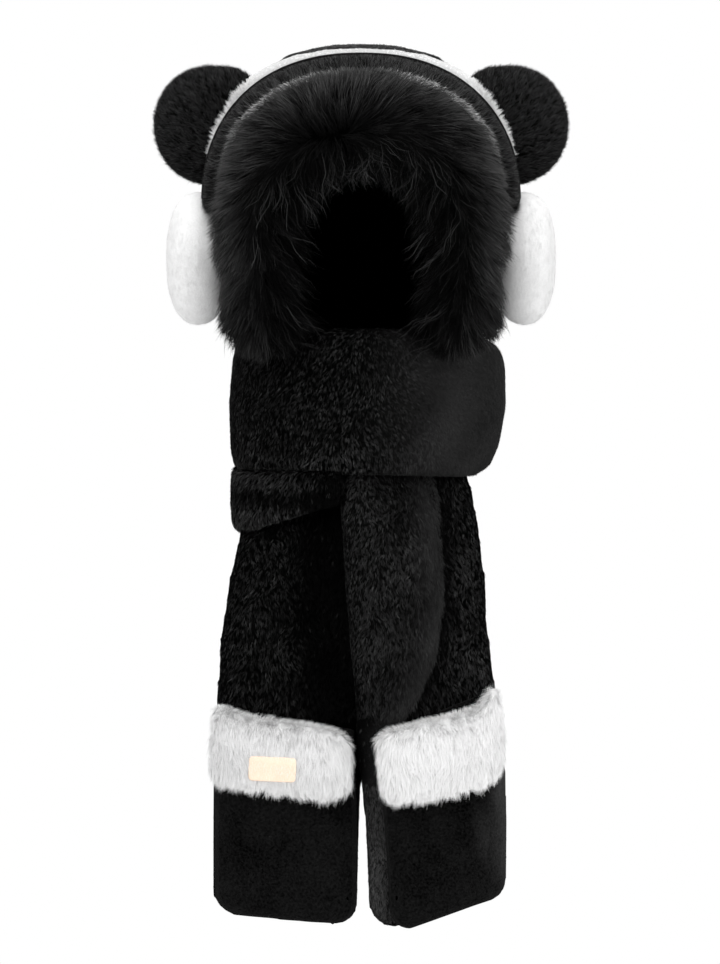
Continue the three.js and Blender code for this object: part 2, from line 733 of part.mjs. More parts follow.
// A thin sheet of the cuff's own curve, with the label's outline
function patchForm() {
  const halfWidth = PATCH.width / 2;
  const halfHeight = PATCH.height / 2;
  const outline = new THREE.Shape();
  const inner = { x: halfWidth - PATCH.corner, y: halfHeight - PATCH.corner };
  outline.absarc(inner.x, inner.y, PATCH.corner, 0, Math.PI / 2);
  outline.absarc(-inner.x, inner.y, PATCH.corner, Math.PI / 2, Math.PI);
  outline.absarc(-inner.x, -inner.y, PATCH.corner, Math.PI, 1.5 * Math.PI);
  outline.absarc(inner.x, -inner.y, PATCH.corner, 1.5 * Math.PI, 2 * Math.PI);
  const prism = new THREE.ExtrudeGeometry(outline, {
    depth: PATCH_REACH,
    bevelEnabled: false,
    curveSegments: 4,
  });
  prism.rotateZ(radians(PATCH.tilt));
  prism.rotateX(radians(90));
  prism.translate(PATCH.x, PATCH_FROM_Y, PATCH.z);
  const cuff = cuffShape(CUFF_LEFT_ROWS);
  const sheet = hangingForm(cuff, SEAM_GAP + PATCH.thick).subtract(hangingForm(cuff, SEAM_GAP));
  return sheet.intersect(solidOf(prism));
}

// Assembly: each soft piece gives way to what it lies on

const hoodRoom = hoodOutside(SEAM_GAP);
const headbandRoom = archForm(HEADBAND, SEAM_GAP);
const stripRoom = archForm(WHITE_STRIP, SEAM_GAP);
const neckWrapRoom = neckWrapForm(SEAM_GAP);
const underWrapRoom = underWrapForm(SEAM_GAP);
const endLeftRoom = hangingForm(SCARF_END_LEFT, SEAM_GAP);
const endRightRoom = hangingForm(SCARF_END_RIGHT, SEAM_GAP);
const muffRooms = [-1, 1].map((side) => muffForm(side, SEAM_GAP));

const headwear = new THREE.Group();
const hoodShell = hoodOutside(0).subtract(hoodForm(-HOOD_WALL));
headwear.add(piece("hood", hoodShell, "blackPlush"));
headwear.add(piece("headband", cutBy(archForm(HEADBAND, 0), [hoodRoom]), "blackPlush"));
headwear.add(piece("white_strip", cutBy(archForm(WHITE_STRIP, 0), [hoodRoom, headbandRoom]),
  "whitePlush"));
for (const [side, name] of [[-1, "left"], [1, "right"]]) {
  const ear = cutBy(earForm(side, 0), [hoodRoom, headbandRoom, stripRoom]);
  headwear.add(piece(`ear_${name}`, ear, "blackPlush"));
  const muff = cutBy(muffForm(side, 0), [hoodRoom, headbandRoom, stripRoom]);
  headwear.add(piece(`ear_muff_${name}`, muff, "whitePlush"));
}
const trim = cutBy(furForm(), [hoodRoom, headbandRoom, neckWrapRoom, ...muffRooms]);
headwear.add(piece("fur_trim", trim, "blackFur"));

const scarf = new THREE.Group();
const neckWrap = cutBy(neckWrapForm(0), [hoodRoom]);
scarf.add(piece("neck_wrap", neckWrap, "blackPlush"));
scarf.add(piece("under_wrap", cutBy(underWrapForm(0), [neckWrapRoom]), "blackPlush"));
const turns = [hoodRoom, neckWrapRoom, underWrapRoom];
const endRight = cutBy(hangingForm(SCARF_END_RIGHT, 0), turns);
scarf.add(piece("scarf_end_right", endRight, "blackPlush"));
const endLeft = cutBy(hangingForm(SCARF_END_LEFT, 0), [...turns, endRightRoom]);
scarf.add(piece("scarf_end_left", endLeft, "blackPlush"));
scarf.add(piece("pocket_left", pocketForm(POCKET_LEFT_ROWS, SCARF_END_LEFT, SCARF_END_RIGHT),
  "blackVelvet"));
scarf.add(piece("pocket_right", pocketForm(POCKET_RIGHT_ROWS, SCARF_END_RIGHT, SCARF_END_LEFT),
  "blackVelvet"));
const bothEnds = [endLeftRoom, endRightRoom];
scarf.add(piece("cuff_left", cuffForm(CUFF_LEFT_ROWS, POCKET_LEFT_ROWS, bothEnds), "whitePlush"));
scarf.add(piece("cuff_right", cuffForm(CUFF_RIGHT_ROWS, POCKET_RIGHT_ROWS, bothEnds),
  "whitePlush"));
scarf.add(piece("patch", patchForm(), "peachLeather"));

const hoodedScarf = new THREE.Group();
hoodedScarf.add(headwear, scarf);

export default hoodedScarf;
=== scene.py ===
import math

import bpy
import numpy as np
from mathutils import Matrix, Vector


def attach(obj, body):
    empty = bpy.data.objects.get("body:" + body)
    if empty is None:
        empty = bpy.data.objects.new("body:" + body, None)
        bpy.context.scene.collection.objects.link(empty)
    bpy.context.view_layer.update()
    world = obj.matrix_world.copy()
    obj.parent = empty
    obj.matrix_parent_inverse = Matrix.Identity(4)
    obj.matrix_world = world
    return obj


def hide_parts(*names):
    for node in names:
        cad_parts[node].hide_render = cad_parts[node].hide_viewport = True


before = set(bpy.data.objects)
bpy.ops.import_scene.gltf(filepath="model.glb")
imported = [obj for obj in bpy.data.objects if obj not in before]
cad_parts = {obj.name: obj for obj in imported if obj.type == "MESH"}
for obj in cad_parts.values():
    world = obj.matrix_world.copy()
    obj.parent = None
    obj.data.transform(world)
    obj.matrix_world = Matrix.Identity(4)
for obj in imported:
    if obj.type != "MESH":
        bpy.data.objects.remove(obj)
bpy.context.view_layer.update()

# View and studio
# The hood and scarf are seen straight from the front, from far off, against white. A pale floor lies
# below the hanging ends, and large soft lamps stand to both sides, above and behind.

MM = 0.001
PHOTO_HEIGHT = 964
MM_PER_PIXEL = 0.95
VIEW_MIDDLE = (-1 * MM, -404 * MM)
VIEW_DISTANCE = 20.0
OBJECT_PLANE_Y = -100 * MM
SENSOR_HEIGHT = 24
FARTHEST_SEEN = 50


def add_object(name, data):
    """A new object, put into the scene."""
    made = bpy.data.objects.new(name, data)
    bpy.context.collection.objects.link(made)
    return made


def set_values(node, values):
    """Gives a node's sockets their values, by name."""
    for socket, value in values.items():
        node.inputs[socket].default_value = value


def new_material(name, values):
    """A new material and its shader, with the values that are the same all over."""
    material = bpy.data.materials.new(name)
    material.use_nodes = True
    shader = material.node_tree.nodes["Principled BSDF"]
    set_values(shader, values)
    return material, shader


camera_data = bpy.data.cameras.new("camera")
camera_data.sensor_fit = "VERTICAL"
camera_data.sensor_height = SENSOR_HEIGHT
camera_data.lens = SENSOR_HEIGHT * VIEW_DISTANCE / (PHOTO_HEIGHT * MM_PER_PIXEL * MM)
camera_data.clip_end = FARTHEST_SEEN
camera = add_object("camera", camera_data)
camera.location = (VIEW_MIDDLE[0], OBJECT_PLANE_Y - VIEW_DISTANCE, VIEW_MIDDLE[1])
camera.rotation_euler = (math.radians(90), 0, 0)
bpy.context.scene.camera = camera
bpy.context.scene.view_settings.view_transform = "Standard"

WHITE = (1, 1, 1, 1)
SURROUND_LIGHT = 0.56
world = bpy.data.worlds.new("studio")
world.use_nodes = True
tree = world.node_tree
tree.nodes.clear()
seen_white = tree.nodes.new("ShaderNodeBackground")
set_values(seen_white, {"Color": WHITE})
cast_light = tree.nodes.new("ShaderNodeBackground")
set_values(cast_light, {"Color": WHITE, "Strength": SURROUND_LIGHT})
ray = tree.nodes.new("ShaderNodeLightPath")
either = tree.nodes.new("ShaderNodeMixShader")
sky = tree.nodes.new("ShaderNodeOutputWorld")
tree.links.new(ray.outputs["Is Camera Ray"], either.inputs[0])
tree.links.new(cast_light.outputs[0], either.inputs[1])
tree.links.new(seen_white.outputs[0], either.inputs[2])
tree.links.new(either.outputs[0], sky.inputs[0])
bpy.context.scene.world = world

# name, place in metres, width and height, power in watts
LAMPS = [
    ("lamp_left", (-2.4, -2.6, 1.0), 1.6, 2.2, 64),
    ("lamp_right", (2.6, -2.2, 0.4), 1.6, 2.4, 66),
    ("lamp_above", (0.0, -0.5, 2.2), 2.4, 1.4, 60),
    ("lamp_behind", (0.0, 2.4, 1.4), 2.6, 1.4, 50),
]
LIT_POINT = Vector((0, -0.1, -0.35))
for name, place, width, height, power in LAMPS:
    lamp_data = bpy.data.lights.new(name, "AREA")
    lamp_data.shape = "RECTANGLE"
    lamp_data.size = width
    lamp_data.size_y = height
    lamp_data.energy = power
    lamp = add_object(name, lamp_data)
    lamp.location = place
    lamp.rotation_euler = (LIT_POINT - Vector(place)).to_track_quat("-Z", "Y").to_euler()

FLOOR_LEVEL = -1.25
FLOOR_HALF_SIZE = 2.5
FLOOR_GREY = (0.82, 0.82, 0.82, 1)
sides = [(-1, -1), (1, -1), (1, 1), (-1, 1)]
floor_corners = [(FLOOR_HALF_SIZE * x, FLOOR_HALF_SIZE * y, FLOOR_LEVEL) for x, y in sides]
floor_mesh = bpy.data.meshes.new("floor")
floor_mesh.from_pydata(floor_corners, [], [(0, 1, 2, 3)])
floor_mesh.materials.append(new_material("pale_floor", {"Base Color": FLOOR_GREY, "Roughness": 0.9})[0])
floor = add_object("floor", floor_mesh)

# Hood
# The padded hood is sewn from black plush and open at the face and below. Its pile is short and
# brushed down and back, and its inside is plain dark lining.

# Here and below, places and sizes are in millimetres until they go into a mesh


def skin_arrays(skin):
    """The skin's points, the directions straight out of it, and its triangles."""
    mesh = skin.data
    mesh.calc_loop_triangles()
    points = np.empty(len(mesh.vertices) * 3)
    mesh.vertices.foreach_get("co", points)
    outward = np.empty(len(mesh.vertices) * 3)
    mesh.vertices.foreach_get("normal", outward)
    corners = np.empty(len(mesh.loop_triangles) * 3, np.int32)
    mesh.loop_triangles.foreach_get("vertices", corners)
    return points.reshape(-1, 3) / MM, outward.reshape(-1, 3), corners.reshape(-1, 3)


def unit(vectors):
    """Vectors of length one."""
    return vectors / np.maximum(np.linalg.norm(vectors, axis=-1, keepdims=True), 1e-9)


def ramp(values, start, end):
    """Rises evenly from 0 at start to 1 at end."""
    return np.clip((values - start) / (end - start), 0, 1)


def ways(count, across=0.0, back=0.0, up=-1.0):
    """Vectors made of their parts, straight down when nothing is said."""
    return np.stack([np.broadcast_to(part, count) for part in (across, back, up)], axis=1)


def wander(points, size, phase):
    """Smooth changes from -1 to 1 over a distance of about size."""
    total = np.zeros(len(points))
    for wave in range(4):
        turn = phase + 1.9 * wave
        way = np.array([math.sin(turn), math.sin(turn * 1.7 + 1), math.cos(turn * 1.3)])
        total += np.sin(points @ way * (6.3 + 1.1 * wave) / size + turn * 3)
    return total / 2.6


def combed(skin, rng, tufts, comb, share=None, stray=0.25):
    """Where tufts stand on a skin, how it faces there and which way they lie.

    comb and share get points and the directions out of the skin there, and answer which way the
    pile is brushed and how dense it is."""
    points, outward, corners = skin_arrays(skin)
    a, b, c = (points[corners[:, side]] for side in range(3))
    normal = np.cross(b - a, c - a)
    area = np.linalg.norm(normal, axis=1)
    if share:
        area = area * share((a + b + c) / 3, unit(normal))
    chosen = rng.choice(len(area), tufts, p=area / area.sum())
    first = np.sqrt(rng.random(tufts))[:, None]
    second = rng.random(tufts)[:, None]
    parts = (1 - first, first * (1 - second), first * second)
    spots = sum(part * points[corners[chosen, side]] for side, part in enumerate(parts))
    up = unit(sum(part * outward[corners[chosen, side]] for side, part in enumerate(parts)))
    flow = comb(spots, up)
    flow = unit(flow - (flow * up).sum(axis=1, keepdims=True) * up)
    flow = unit(flow + stray * np.cross(up, flow) * rng.normal(0, 1, (tufts, 1)))
    return spots, up, flow


# How far a hair strays from its tuft
STRAY_HEADING = 0.15
STRAY_ANGLE = 0.1
STRAY_TILT = 0.35
STRAY_LENGTH = (0.7, 1.08)
TUFT_VARIES = 0.13
ROOT_DEPTH = 0.8


def pile(
    node, material, slot, rng, tufts, length, spread, gather, rise, width, tone, hairs=4, lean=84,
    sag=0.1, vary=1.0, mixed=0.05, even=0.0, bends=1,
):
    """A node's hair, which stands in tufts and lies over towards its tip.

    rise and lean are a hair's angles from straight up at its root and at its tip, and tone is how
    pale it is, from 0 to 1. gather is how far a tuft's tips draw in, vary how uneven the tufts look,
    and even how pale their roots are. Each is one value, or one for each tuft. mixed is how uneven
    the hairs of one tuft are."""
    spots, outward, flow = tufts
    each = np.repeat(np.arange(len(spots)), hairs)
    count = len(each)
    length, rise, lean, gather, vary, even = (
        np.broadcast_to(value, len(spots))[each][:, None]
        for value in (length, rise, lean, gather, vary, even)
    )
    up = outward[each]
    across = np.cross(up, flow[each])
    heading = unit(flow[each] + across * rng.normal(0, STRAY_HEADING, (count, 1)))
    turn = rng.uniform(0, 2 * math.pi, (count, 1))
    offset = spread * np.sqrt(rng.random((count, 1)))
    offset = offset * (np.cos(turn) * flow[each] + np.sin(turn) * across)
    reach = length * rng.uniform(*STRAY_LENGTH, (count, 1))
    start = np.radians(rise) + rng.normal(0, STRAY_ANGLE, (count, 1))
    end = np.radians(lean) + rng.normal(0, STRAY_ANGLE, (count, 1))
    path = [spots[each] + offset - up * np.cos(start) * ROOT_DEPTH]
    for bend in range(bends):
        part = (bend + 0.5) / bends
        angle = start + (end - start) * part
        step = up * np.cos(angle) + heading * np.sin(angle)
        step[:, 2] -= sag * part
        path.append(path[-1] + unit(step) * reach / bends - offset * gather / bends)
    tilt = rng.normal(0, STRAY_TILT, (count, 1)) * np.minimum(vary, 1)
    facing = up * np.cos(tilt) + across * np.sin(tilt)
    own = np.broadcast_to(tone, len(spots))[each] + mixed * rng.normal(0, 1, count)
    own = own + TUFT_VARIES * vary[:, 0] * rng.normal(0, 1, len(spots))[each]
    dress(ribbons(f"{node}_pile", path, facing, width, own, even), material, slot)


RIBBON_NARROWS = 0.55
# The bake layer keeps one column for each tone, and ribbons lie in them clear of the layer's edges
TONE_COLUMNS = 24
RIBBON_SHARE = 0.35
BAKE_MARGIN = 0.03


def ribbons(name, path, facing, width, tone, even=0.0):
    """An object of ribbons that narrow to their tips, along paths with a row of points at each bend.

    Each keeps its tone and its way from root to tip for the material. even cuts that way short."""
    tone = np.clip(tone, 0, 0.999)
    bends = len(path) - 1
    count = len(path[0])
    side = unit(np.cross(path[-1] - path[0], facing)) * np.reshape(width, (-1, 1)) / 2
    rows = []
    for bend in range(bends):
        narrow = 1 - RIBBON_NARROWS * (bend / bends) ** 1.5
        rows += [path[bend] - side * narrow, path[bend] + side * narrow]
    points = np.stack(rows + [path[-1]], axis=1) * MM
    own = 2 * bends + 1
    faces = []
    for low in range(0, own - 3, 2):
        faces += [(low, low + 1, low + 3), (low, low + 3, low + 2)]
    faces.append((own - 3, own - 2, own - 1))
    corners = (np.array(faces)[None] + own * np.arange(count)[:, None, None]).reshape(-1)
    places = np.zeros((count, own, 3))
    places[:, :, 0] = ((np.floor(tone * TONE_COLUMNS) + 0.5) / TONE_COLUMNS)[:, None]
    way = np.append(np.repeat(np.arange(bends) / bends, 2), 1.0)
    places[:, :, 1] = way + (1 - way) * np.reshape(even, (-1, 1))
    places = places.reshape(-1, 3)
    wide = np.tile(RIBBON_SHARE / TONE_COLUMNS * np.array([-1, 1] * bends + [0]), count)
    mesh = bpy.data.meshes.new(name)
    mesh.vertices.add(count * own)
    mesh.vertices.foreach_set("co", points.astype(np.float32).ravel())
    mesh.loops.add(len(corners))
    mesh.loops.foreach_set("vertex_index", corners.astype(np.int32))
    mesh.polygons.add(len(corners) // 3)
    mesh.polygons.foreach_set("loop_start", np.arange(0, len(corners), 3, dtype=np.int32))
    mesh.update(calc_edges=True)
    tones = mesh.attributes.new("pile", "FLOAT_VECTOR", "POINT")
    tones.data.foreach_set("vector", places.astype(np.float32).ravel())
    low_to_high = BAKE_MARGIN + (1 - 2 * BAKE_MARGIN) * places[:, 1]
    flat = np.stack([places[:, 0] + wide, low_to_high], axis=1)[corners]
    layer = mesh.uv_layers.new(name="OFBake")
    layer.uv.foreach_set("vector", flat.astype(np.float32).ravel())
    mesh.shade_smooth()
    return add_object(name, mesh)


def new_group(name, inputs, outputs):
    """A node group with named sockets, and the sockets inside it."""
    group = bpy.data.node_groups.new(name, "ShaderNodeTree")
    for way, sockets in (("INPUT", inputs), ("OUTPUT", outputs)):
        for socket, kind in sockets.items():
            group.interface.new_socket(socket, in_out=way, socket_type=f"NodeSocket{kind}")
    return group, group.nodes.new("NodeGroupInput").outputs, group.nodes.new("NodeGroupOutput").inputs


def attribute(group, name, kind):
    """What a mesh says in its attribute of that name."""
    node = group.nodes.new("ShaderNodeAttribute")
    node.attribute_name = name
    return node.outputs[kind]


def maths(group, operation, *values):
    """The answer of a maths node, whose values are numbers or sockets."""
    node = group.nodes.new("ShaderNodeMath")
    node.operation = operation
    for socket, value in zip(node.inputs, values):
        if isinstance(value, float):
            socket.default_value = value
        else:
            group.links.new(value, socket)
    return node.outputs[0]


def colour_mix(group, factor, first, second):
    """The first colour where the factor is 0, and the second where it is 1."""
    node = group.nodes.new("ShaderNodeMix")
    node.data_type = "RGBA"
    for socket, value in (("Factor", factor), (6, first), (7, second)):
        group.links.new(value, node.inputs[socket])
    return node.outputs[2]


def noise(group, place, scale, detail, roughness):
    """Soft noise at a place."""
    node = group.nodes.new("ShaderNodeTexNoise")
    set_values(node, {"Detail": detail, "Roughness": roughness})
    group.links.new(place, node.inputs["Vector"])
    group.links.new(scale, node.inputs["Scale"])
    return node.outputs["Fac"]


# Colour of a hair: its root's at the root, and at the tip its own between two tones. The darker root
# colour is painted shade, deep in the pile
inputs = {"Root": "Color", "Tip": "Color", "Pale": "Color", "Fade": "Float"}
HAIR_TONE, given, result = new_group("hair_tone", inputs, {"Colour": "Color"})
split = HAIR_TONE.nodes.new("ShaderNodeSeparateXYZ")
HAIR_TONE.links.new(attribute(HAIR_TONE, "pile", "Vector"), split.inputs[0])
own = maths(HAIR_TONE, "MULTIPLY", split.outputs[0], split.outputs[0])
tip = colour_mix(HAIR_TONE, own, given["Tip"], given["Pale"])
far = maths(HAIR_TONE, "POWER", split.outputs[1], given["Fade"])
HAIR_TONE.links.new(colour_mix(HAIR_TONE, far, given["Root"], tip), result["Colour"])

# Cloth under or without pile: soft patches of tone and the grain of its nap, and paler where its
# shade attribute says so, which mostly carries painted light and shade
inputs = {"Dark": "Color", "Light": "Color", "Pale": "Color", "Patches": "Float", "Grain": "Float"}
CLOTH_NAP, given, result = new_group("cloth_nap", inputs, {"Colour": "Color", "Height": "Float"})
place = CLOTH_NAP.nodes.new("ShaderNodeTexCoord").outputs["Object"]
patches = noise(CLOTH_NAP, place, given["Patches"], 4, 0.5)
grain = noise(CLOTH_NAP, place, given["Grain"], 3, 0.7)
both = maths(CLOTH_NAP, "ADD", patches, maths(CLOTH_NAP, "MULTIPLY_ADD", grain, 2.4, -1.2))
cloth = colour_mix(CLOTH_NAP, both, given["Dark"], given["Light"])
uneven = maths(CLOTH_NAP, "MULTIPLY_ADD", grain, 1.6, 0.2)
paler = maths(CLOTH_NAP, "MULTIPLY", attribute(CLOTH_NAP, "shade", "Fac"), uneven)
CLOTH_NAP.links.new(colour_mix(CLOTH_NAP, paler, cloth, given["Pale"]), result["Colour"])
CLOTH_NAP.links.new(grain, result["Height"])


def grey(value):
    """A grey of that brightness."""
    return (value, value, value, 1)


def use_group(material, group, values):
    """A node group in a material, with its values."""
    node = material.node_tree.nodes.new("ShaderNodeGroup")
    node.node_tree = group
    set_values(node, values)
    return node


def hair_material(name, root, tip, pale, fade, roughness, specular):
    """Material of hair, with the greys of its roots, its tips and its palest tips."""
    material, shader = new_material(name, {"Roughness": roughness, "Specular IOR Level": specular})
    values = {"Root": grey(root), "Tip": grey(tip), "Pale": grey(pale), "Fade": fade}
    tone = use_group(material, HAIR_TONE, values)
    material.node_tree.links.new(tone.outputs["Colour"], shader.inputs["Base Color"])
    return material


SHEEN_ROUGHNESS = 0.45
BUMP_STRENGTH = 0.8


def cloth_material(
    name, dark, light, patches, grain, depth, roughness=0.9, specular=0.0, sheen=0.0, pale=0.11
):
    """Material of cloth with a nap. depth is the height of its grain in millimetres, and pale is the
    grey where it is shaded palest."""
    material, shader = new_material(name, {"Roughness": roughness, "Specular IOR Level": specular})
    set_values(shader, {"Sheen Weight": sheen, "Sheen Roughness": SHEEN_ROUGHNESS})
    values = {"Dark": dark, "Light": light, "Pale": grey(pale), "Patches": patches, "Grain": grain}
    nap = use_group(material, CLOTH_NAP, values)
    tree = material.node_tree
    tree.links.new(nap.outputs["Colour"], shader.inputs["Base Color"])
    bump = tree.nodes.new("ShaderNodeBump")
    set_values(bump, {"Distance": depth * MM, "Strength": BUMP_STRENGTH})
    tree.links.new(nap.outputs["Height"], bump.inputs["Height"])
    tree.links.new(bump.outputs["Normal"], shader.inputs["Normal"])
    return material


def dress(piece, material, slot, *nodes, fill=None):
    """Gives a piece its material and fixes it to the object. The slot is not used."""
    piece.data.materials.clear()
    piece.data.materials.append(material)
    if nodes:
        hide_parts(*nodes)
    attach(piece, "root")


def soft_piece(
    node, material, slot, voxel, draw_in=0.0, ease=4, keep=0.4, fill=None, moved=None, tone=None
):
    """A soft piece: its form with even rounded faces, drawn in to leave room for pile, and dressed.

    moved gets its points and answers where they go, and tone how pale its material is painted there,
    mostly as painted light and shade."""
    skin = add_object(f"{node}_skin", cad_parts[node].data.copy())
    skin.data.materials.clear()
    even = skin.modifiers.new("even", "REMESH")
    even.mode = "VOXEL"
    even.voxel_size = voxel * MM
    rounded = skin.modifiers.new("rounded", "SMOOTH")
    rounded.factor = 0.5
    rounded.iterations = ease
    drawn = skin.modifiers.new("drawn", "DISPLACE")
    drawn.mid_level = 0
    drawn.strength = -draw_in * MM
    fewer = skin.modifiers.new("fewer", "DECIMATE")
    fewer.ratio = keep
    graph = bpy.context.evaluated_depsgraph_get()
    mesh = bpy.data.meshes.new_from_object(skin.evaluated_get(graph))
    skin.modifiers.clear()
    skin.data = mesh
    mesh.name = f"{node}_skin"
    mesh.shade_smooth()
    if moved:
        points = moved(skin_arrays(skin)[0]) * MM
        mesh.vertices.foreach_set("co", points.astype(np.float32).ravel())
        mesh.update()
    if tone:
        values = np.clip(tone(skin_arrays(skin)[0]), 0, 1) ** 2
        shade = mesh.attributes.new("shade", "FLOAT", "POINT")
        shade.data.foreach_set("value", values.astype(np.float32))
    dress(skin, material, slot, node, fill=fill)
    return skin


BLACK_GROUND = cloth_material(
    "black_plush_ground", grey(0.0002), grey(0.0007), patches=60, grain=500, depth=1.2, specular=0.01
)
BLACK_PLUSH = hair_material(
    "black_plush_pile", root=0.0004, tip=0.0016, pale=0.11, fade=1.1, roughness=0.6, specular=0.02
)

HOOD_MIDDLE = (0, -20, -150)
# The pile leaves out what the fur, the wrap and the headband cover
HOOD_PILE = {"front": -128, "foot": -275}
BAND_COVERS = {"front": -106, "back": -50, "foot": -132}
BROW = np.array([0, 0, -141])
# How far the crown swells behind the white strip, by the turn from straight up in degrees
CROWN_SWELL = ((0, 12, 18, 24, 28, 32, 46), (3.2, 5.5, 7.5, 10, 12.2, 13.2, 0))
CROWN_PLACE = {"y": -3, "reach": 32}


def on_crown(points):
    """How near points lie to the crown's highest part, seen from the front, up to 1."""
    return ramp(points[:, 2], -20, 0) * ramp(points[:, 1], 30, 2)


def hood_share(points, facing):
    _, y, z = points.T
    outside = ((points - HOOD_MIDDLE) * facing).sum(axis=1) > 0
    banded = (y > BAND_COVERS["front"]) & (y < BAND_COVERS["back"]) & (z > BAND_COVERS["foot"])
    covered = (y < HOOD_PILE["front"]) | (z < HOOD_PILE["foot"]) | banded
    return np.where(outside & ~covered, 1 + 1.5 * on_crown(points), 0.0)


def hood_comb(points, up):
    return ways(len(points), back=0.5)


def round_brow(points):
    """Turns from straight up, in degrees, and distances from the middle of the brow."""
    across, _, up = (points - BROW).T
    return np.degrees(np.arctan2(np.abs(across), up)), np.hypot(across, up)


def moved_out(points, far, target):
    """Points moved straight out from the brow, from the distances far to the distances target."""
    moved = points - BROW
    moved[:, [0, 2]] *= (target / np.maximum(far, 1))[:, None]
    return moved + BROW


def swollen_crown(points):
    turn, far = round_brow(points)
    behind = np.exp(-(((points[:, 1] - CROWN_PLACE["y"]) / CROWN_PLACE["reach"]) ** 2))
    return moved_out(points, far, far + np.interp(turn, *CROWN_SWELL) * behind)


hood_rng = np.random.default_rng(11)
# Painted highlight: the ground is paler along the crown's edge, where the light from above catches it
hood = soft_piece(
    "hood", BLACK_GROUND, "black_plush", voxel=5, draw_in=0.8, keep=0.35, fill=0.4, moved=swollen_crown,
    tone=lambda points: 0.3 * on_crown(points),
)
hood_tufts = combed(hood, hood_rng, 5600, hood_comb, hood_share)
# The pile is pressed flat along the crown's edge, and painted pale there as a highlight from the light
# above
hood_crown = on_crown(hood_tufts[0])
pile(
    "hood", BLACK_PLUSH, "black_plush", hood_rng, hood_tufts, length=8 - 3 * hood_crown, spread=2.6,
    gather=0.6, rise=42 + 28 * hood_crown, width=0.8, tone=0.3 + 0.55 * hood_crown,
)

# Headband
# A padded band of black plush lies over the crown in front of the white strip. Its short pile is
# brushed straight outward, and a smooth piping closes its outer edge.

# By the turn from straight up: how far the band swells, and how far from the brow its edge lies
BAND_SWELL = ((0, 25, 45, 65, 90), (0.5, 2, 2.5, 2, 0.5))
BAND_EDGE = ((0, 12, 24, 30, 36, 42, 60, 66, 90), (145, 146, 149, 152, 154, 155, 155, 154, 152))
PIPING_RADIUS = 1.7
PIPING_LINE = {"half_span": 150.6, "rise": 144, "top_y": -72, "end_y": -66}
PIPING_FROM = -2
ARCH_EASE = 2 / 2.26


def outward_comb(points, up=None):
    """Straight out from the brow, seen from the front."""
    return unit((points - BROW) * (1, 0, 1))


def band_share(points, facing):
    outer = (outward_comb(points) * facing).sum(axis=1) - 0.6 * facing[:, 1]
    return np.where(outer > 0.05, 1.0, 0.0)


def fuller_band(points):
    turn, far = round_brow(points)
    return moved_out(points, far, far + np.interp(turn, *BAND_SWELL))


band_rng = np.random.default_rng(23)
headband = soft_piece(
    "headband", BLACK_GROUND, "black_plush", voxel=4, draw_in=1.5, fill=0.7, moved=fuller_band
)
band_tufts = combed(headband, band_rng, 7500, outward_comb, band_share, stray=0.2)
band_turn, band_far = round_brow(band_tufts[0])
band_length = np.clip(np.interp(band_turn, *BAND_EDGE) - band_far + 1.5, 3, 12)
pile(
    "headband", BLACK_PLUSH, "black_plush", band_rng, band_tufts, length=band_length,
    spread=1.6, gather=0.3, rise=56, sag=0.0, width=0.42, tone=0.39, vary=1.9, mixed=0.45,
)


def arch_points(line, degrees):
    """Points of an arch over the crown, a little squarer than a circle, at angles in degrees."""
    turn = np.radians(degrees)
    across, up = (np.sign(v) * np.abs(v) ** ARCH_EASE for v in (np.cos(turn), np.sin(turn)))
    y = line["top_y"] + (line["end_y"] - line["top_y"]) * np.abs(np.cos(turn))
    return ways(len(turn), line["half_span"] * across, y, BROW[2] + line["rise"] * up)


def tube(name, rings):
    """A tube through rings of points, closed at both ends."""
    stations, sides = rings.shape[:2]
    faces = []
    for low in range(0, (stations - 1) * sides, sides):
        for side in range(sides):
            after = (side + 1) % sides
            faces.append((low + side, low + after, low + sides + after, low + sides + side))
    faces.append(tuple(reversed(range(sides))))
    faces.append(tuple(range((stations - 1) * sides, stations * sides)))
    mesh = bpy.data.meshes.new(name)
    mesh.from_pydata((rings.reshape(-1, 3) * MM).tolist(), [], faces)
    mesh.shade_smooth()
    return add_object(name, mesh)


def round_cord(name, line, radius, sides=8):
    """A thin round cord along a line of points."""
    along = unit(np.gradient(line, axis=0))
    first = unit(np.cross(along, (0.0, 1.0, 0.0)))
    second = np.cross(along, first)
    turns = 2 * math.pi * np.arange(sides) / sides
    rings = [line + radius * (math.cos(turn) * first + math.sin(turn) * second) for turn in turns]
    return tube(name, np.stack(rings, axis=1))


PIPING_CLOTH = cloth_material(
    "black_piping", grey(0.001), grey(0.003), patches=80, grain=900, depth=0.1, roughness=0.7,
    specular=0.08,
)
piping_line = arch_points(PIPING_LINE, np.linspace(PIPING_FROM, 180 - PIPING_FROM, 90))
piping = round_cord("headband_piping", piping_line, PIPING_RADIUS)
dress(piping, PIPING_CLOTH, "black_plush")

# White strip
# A narrow padded strip of white plush lies along the headband's back edge, flat over the crown. Its
# pile stands out over the ears on both sides, and its seam runs on down to the ear muffs.

WHITE_GROUND = cloth_material(
    "white_plush_ground", grey(0.36), grey(0.42), patches=50, grain=420, depth=0.8, specular=0.1, pale=0.5
)
WHITE_PLUSH = hair_material(
    "white_plush_pile", root=0.52, tip=0.76, pale=0.96, fade=1, roughness=0.7, specular=0.1
)
# How much of the strip's breadth is left, by the turn from straight up: it runs out to a point
STRIP_BREADTH = (
    (0, 12, 24, 32, 40, 48, 56, 64, 70),
    (1.6, 1.34, 1.31, 1.27, 1.2, 0.86, 0.63, 0.55, 0.5),
)
STRIP_INNER = 140
STRIP_TUFTS = 1300
# The turns over which the pile begins to stand out, and over which it darkens
STRIP_OPENS = (37, 49)
STRIP_DARKENS = (47, 59)
STRIP_SEAM = {"half_span": 152.6, "rise": 146, "top_y": -70, "end_y": -67}
STRIP_SEAM_TURNS = (17, 23)
STRIP_SEAM_RADIUS = 0.3


def tapered(points):
    turn, far = round_brow(points)
    share = np.interp(turn, *STRIP_BREADTH)
    return moved_out(points, far, STRIP_INNER + (far - STRIP_INNER) * share)


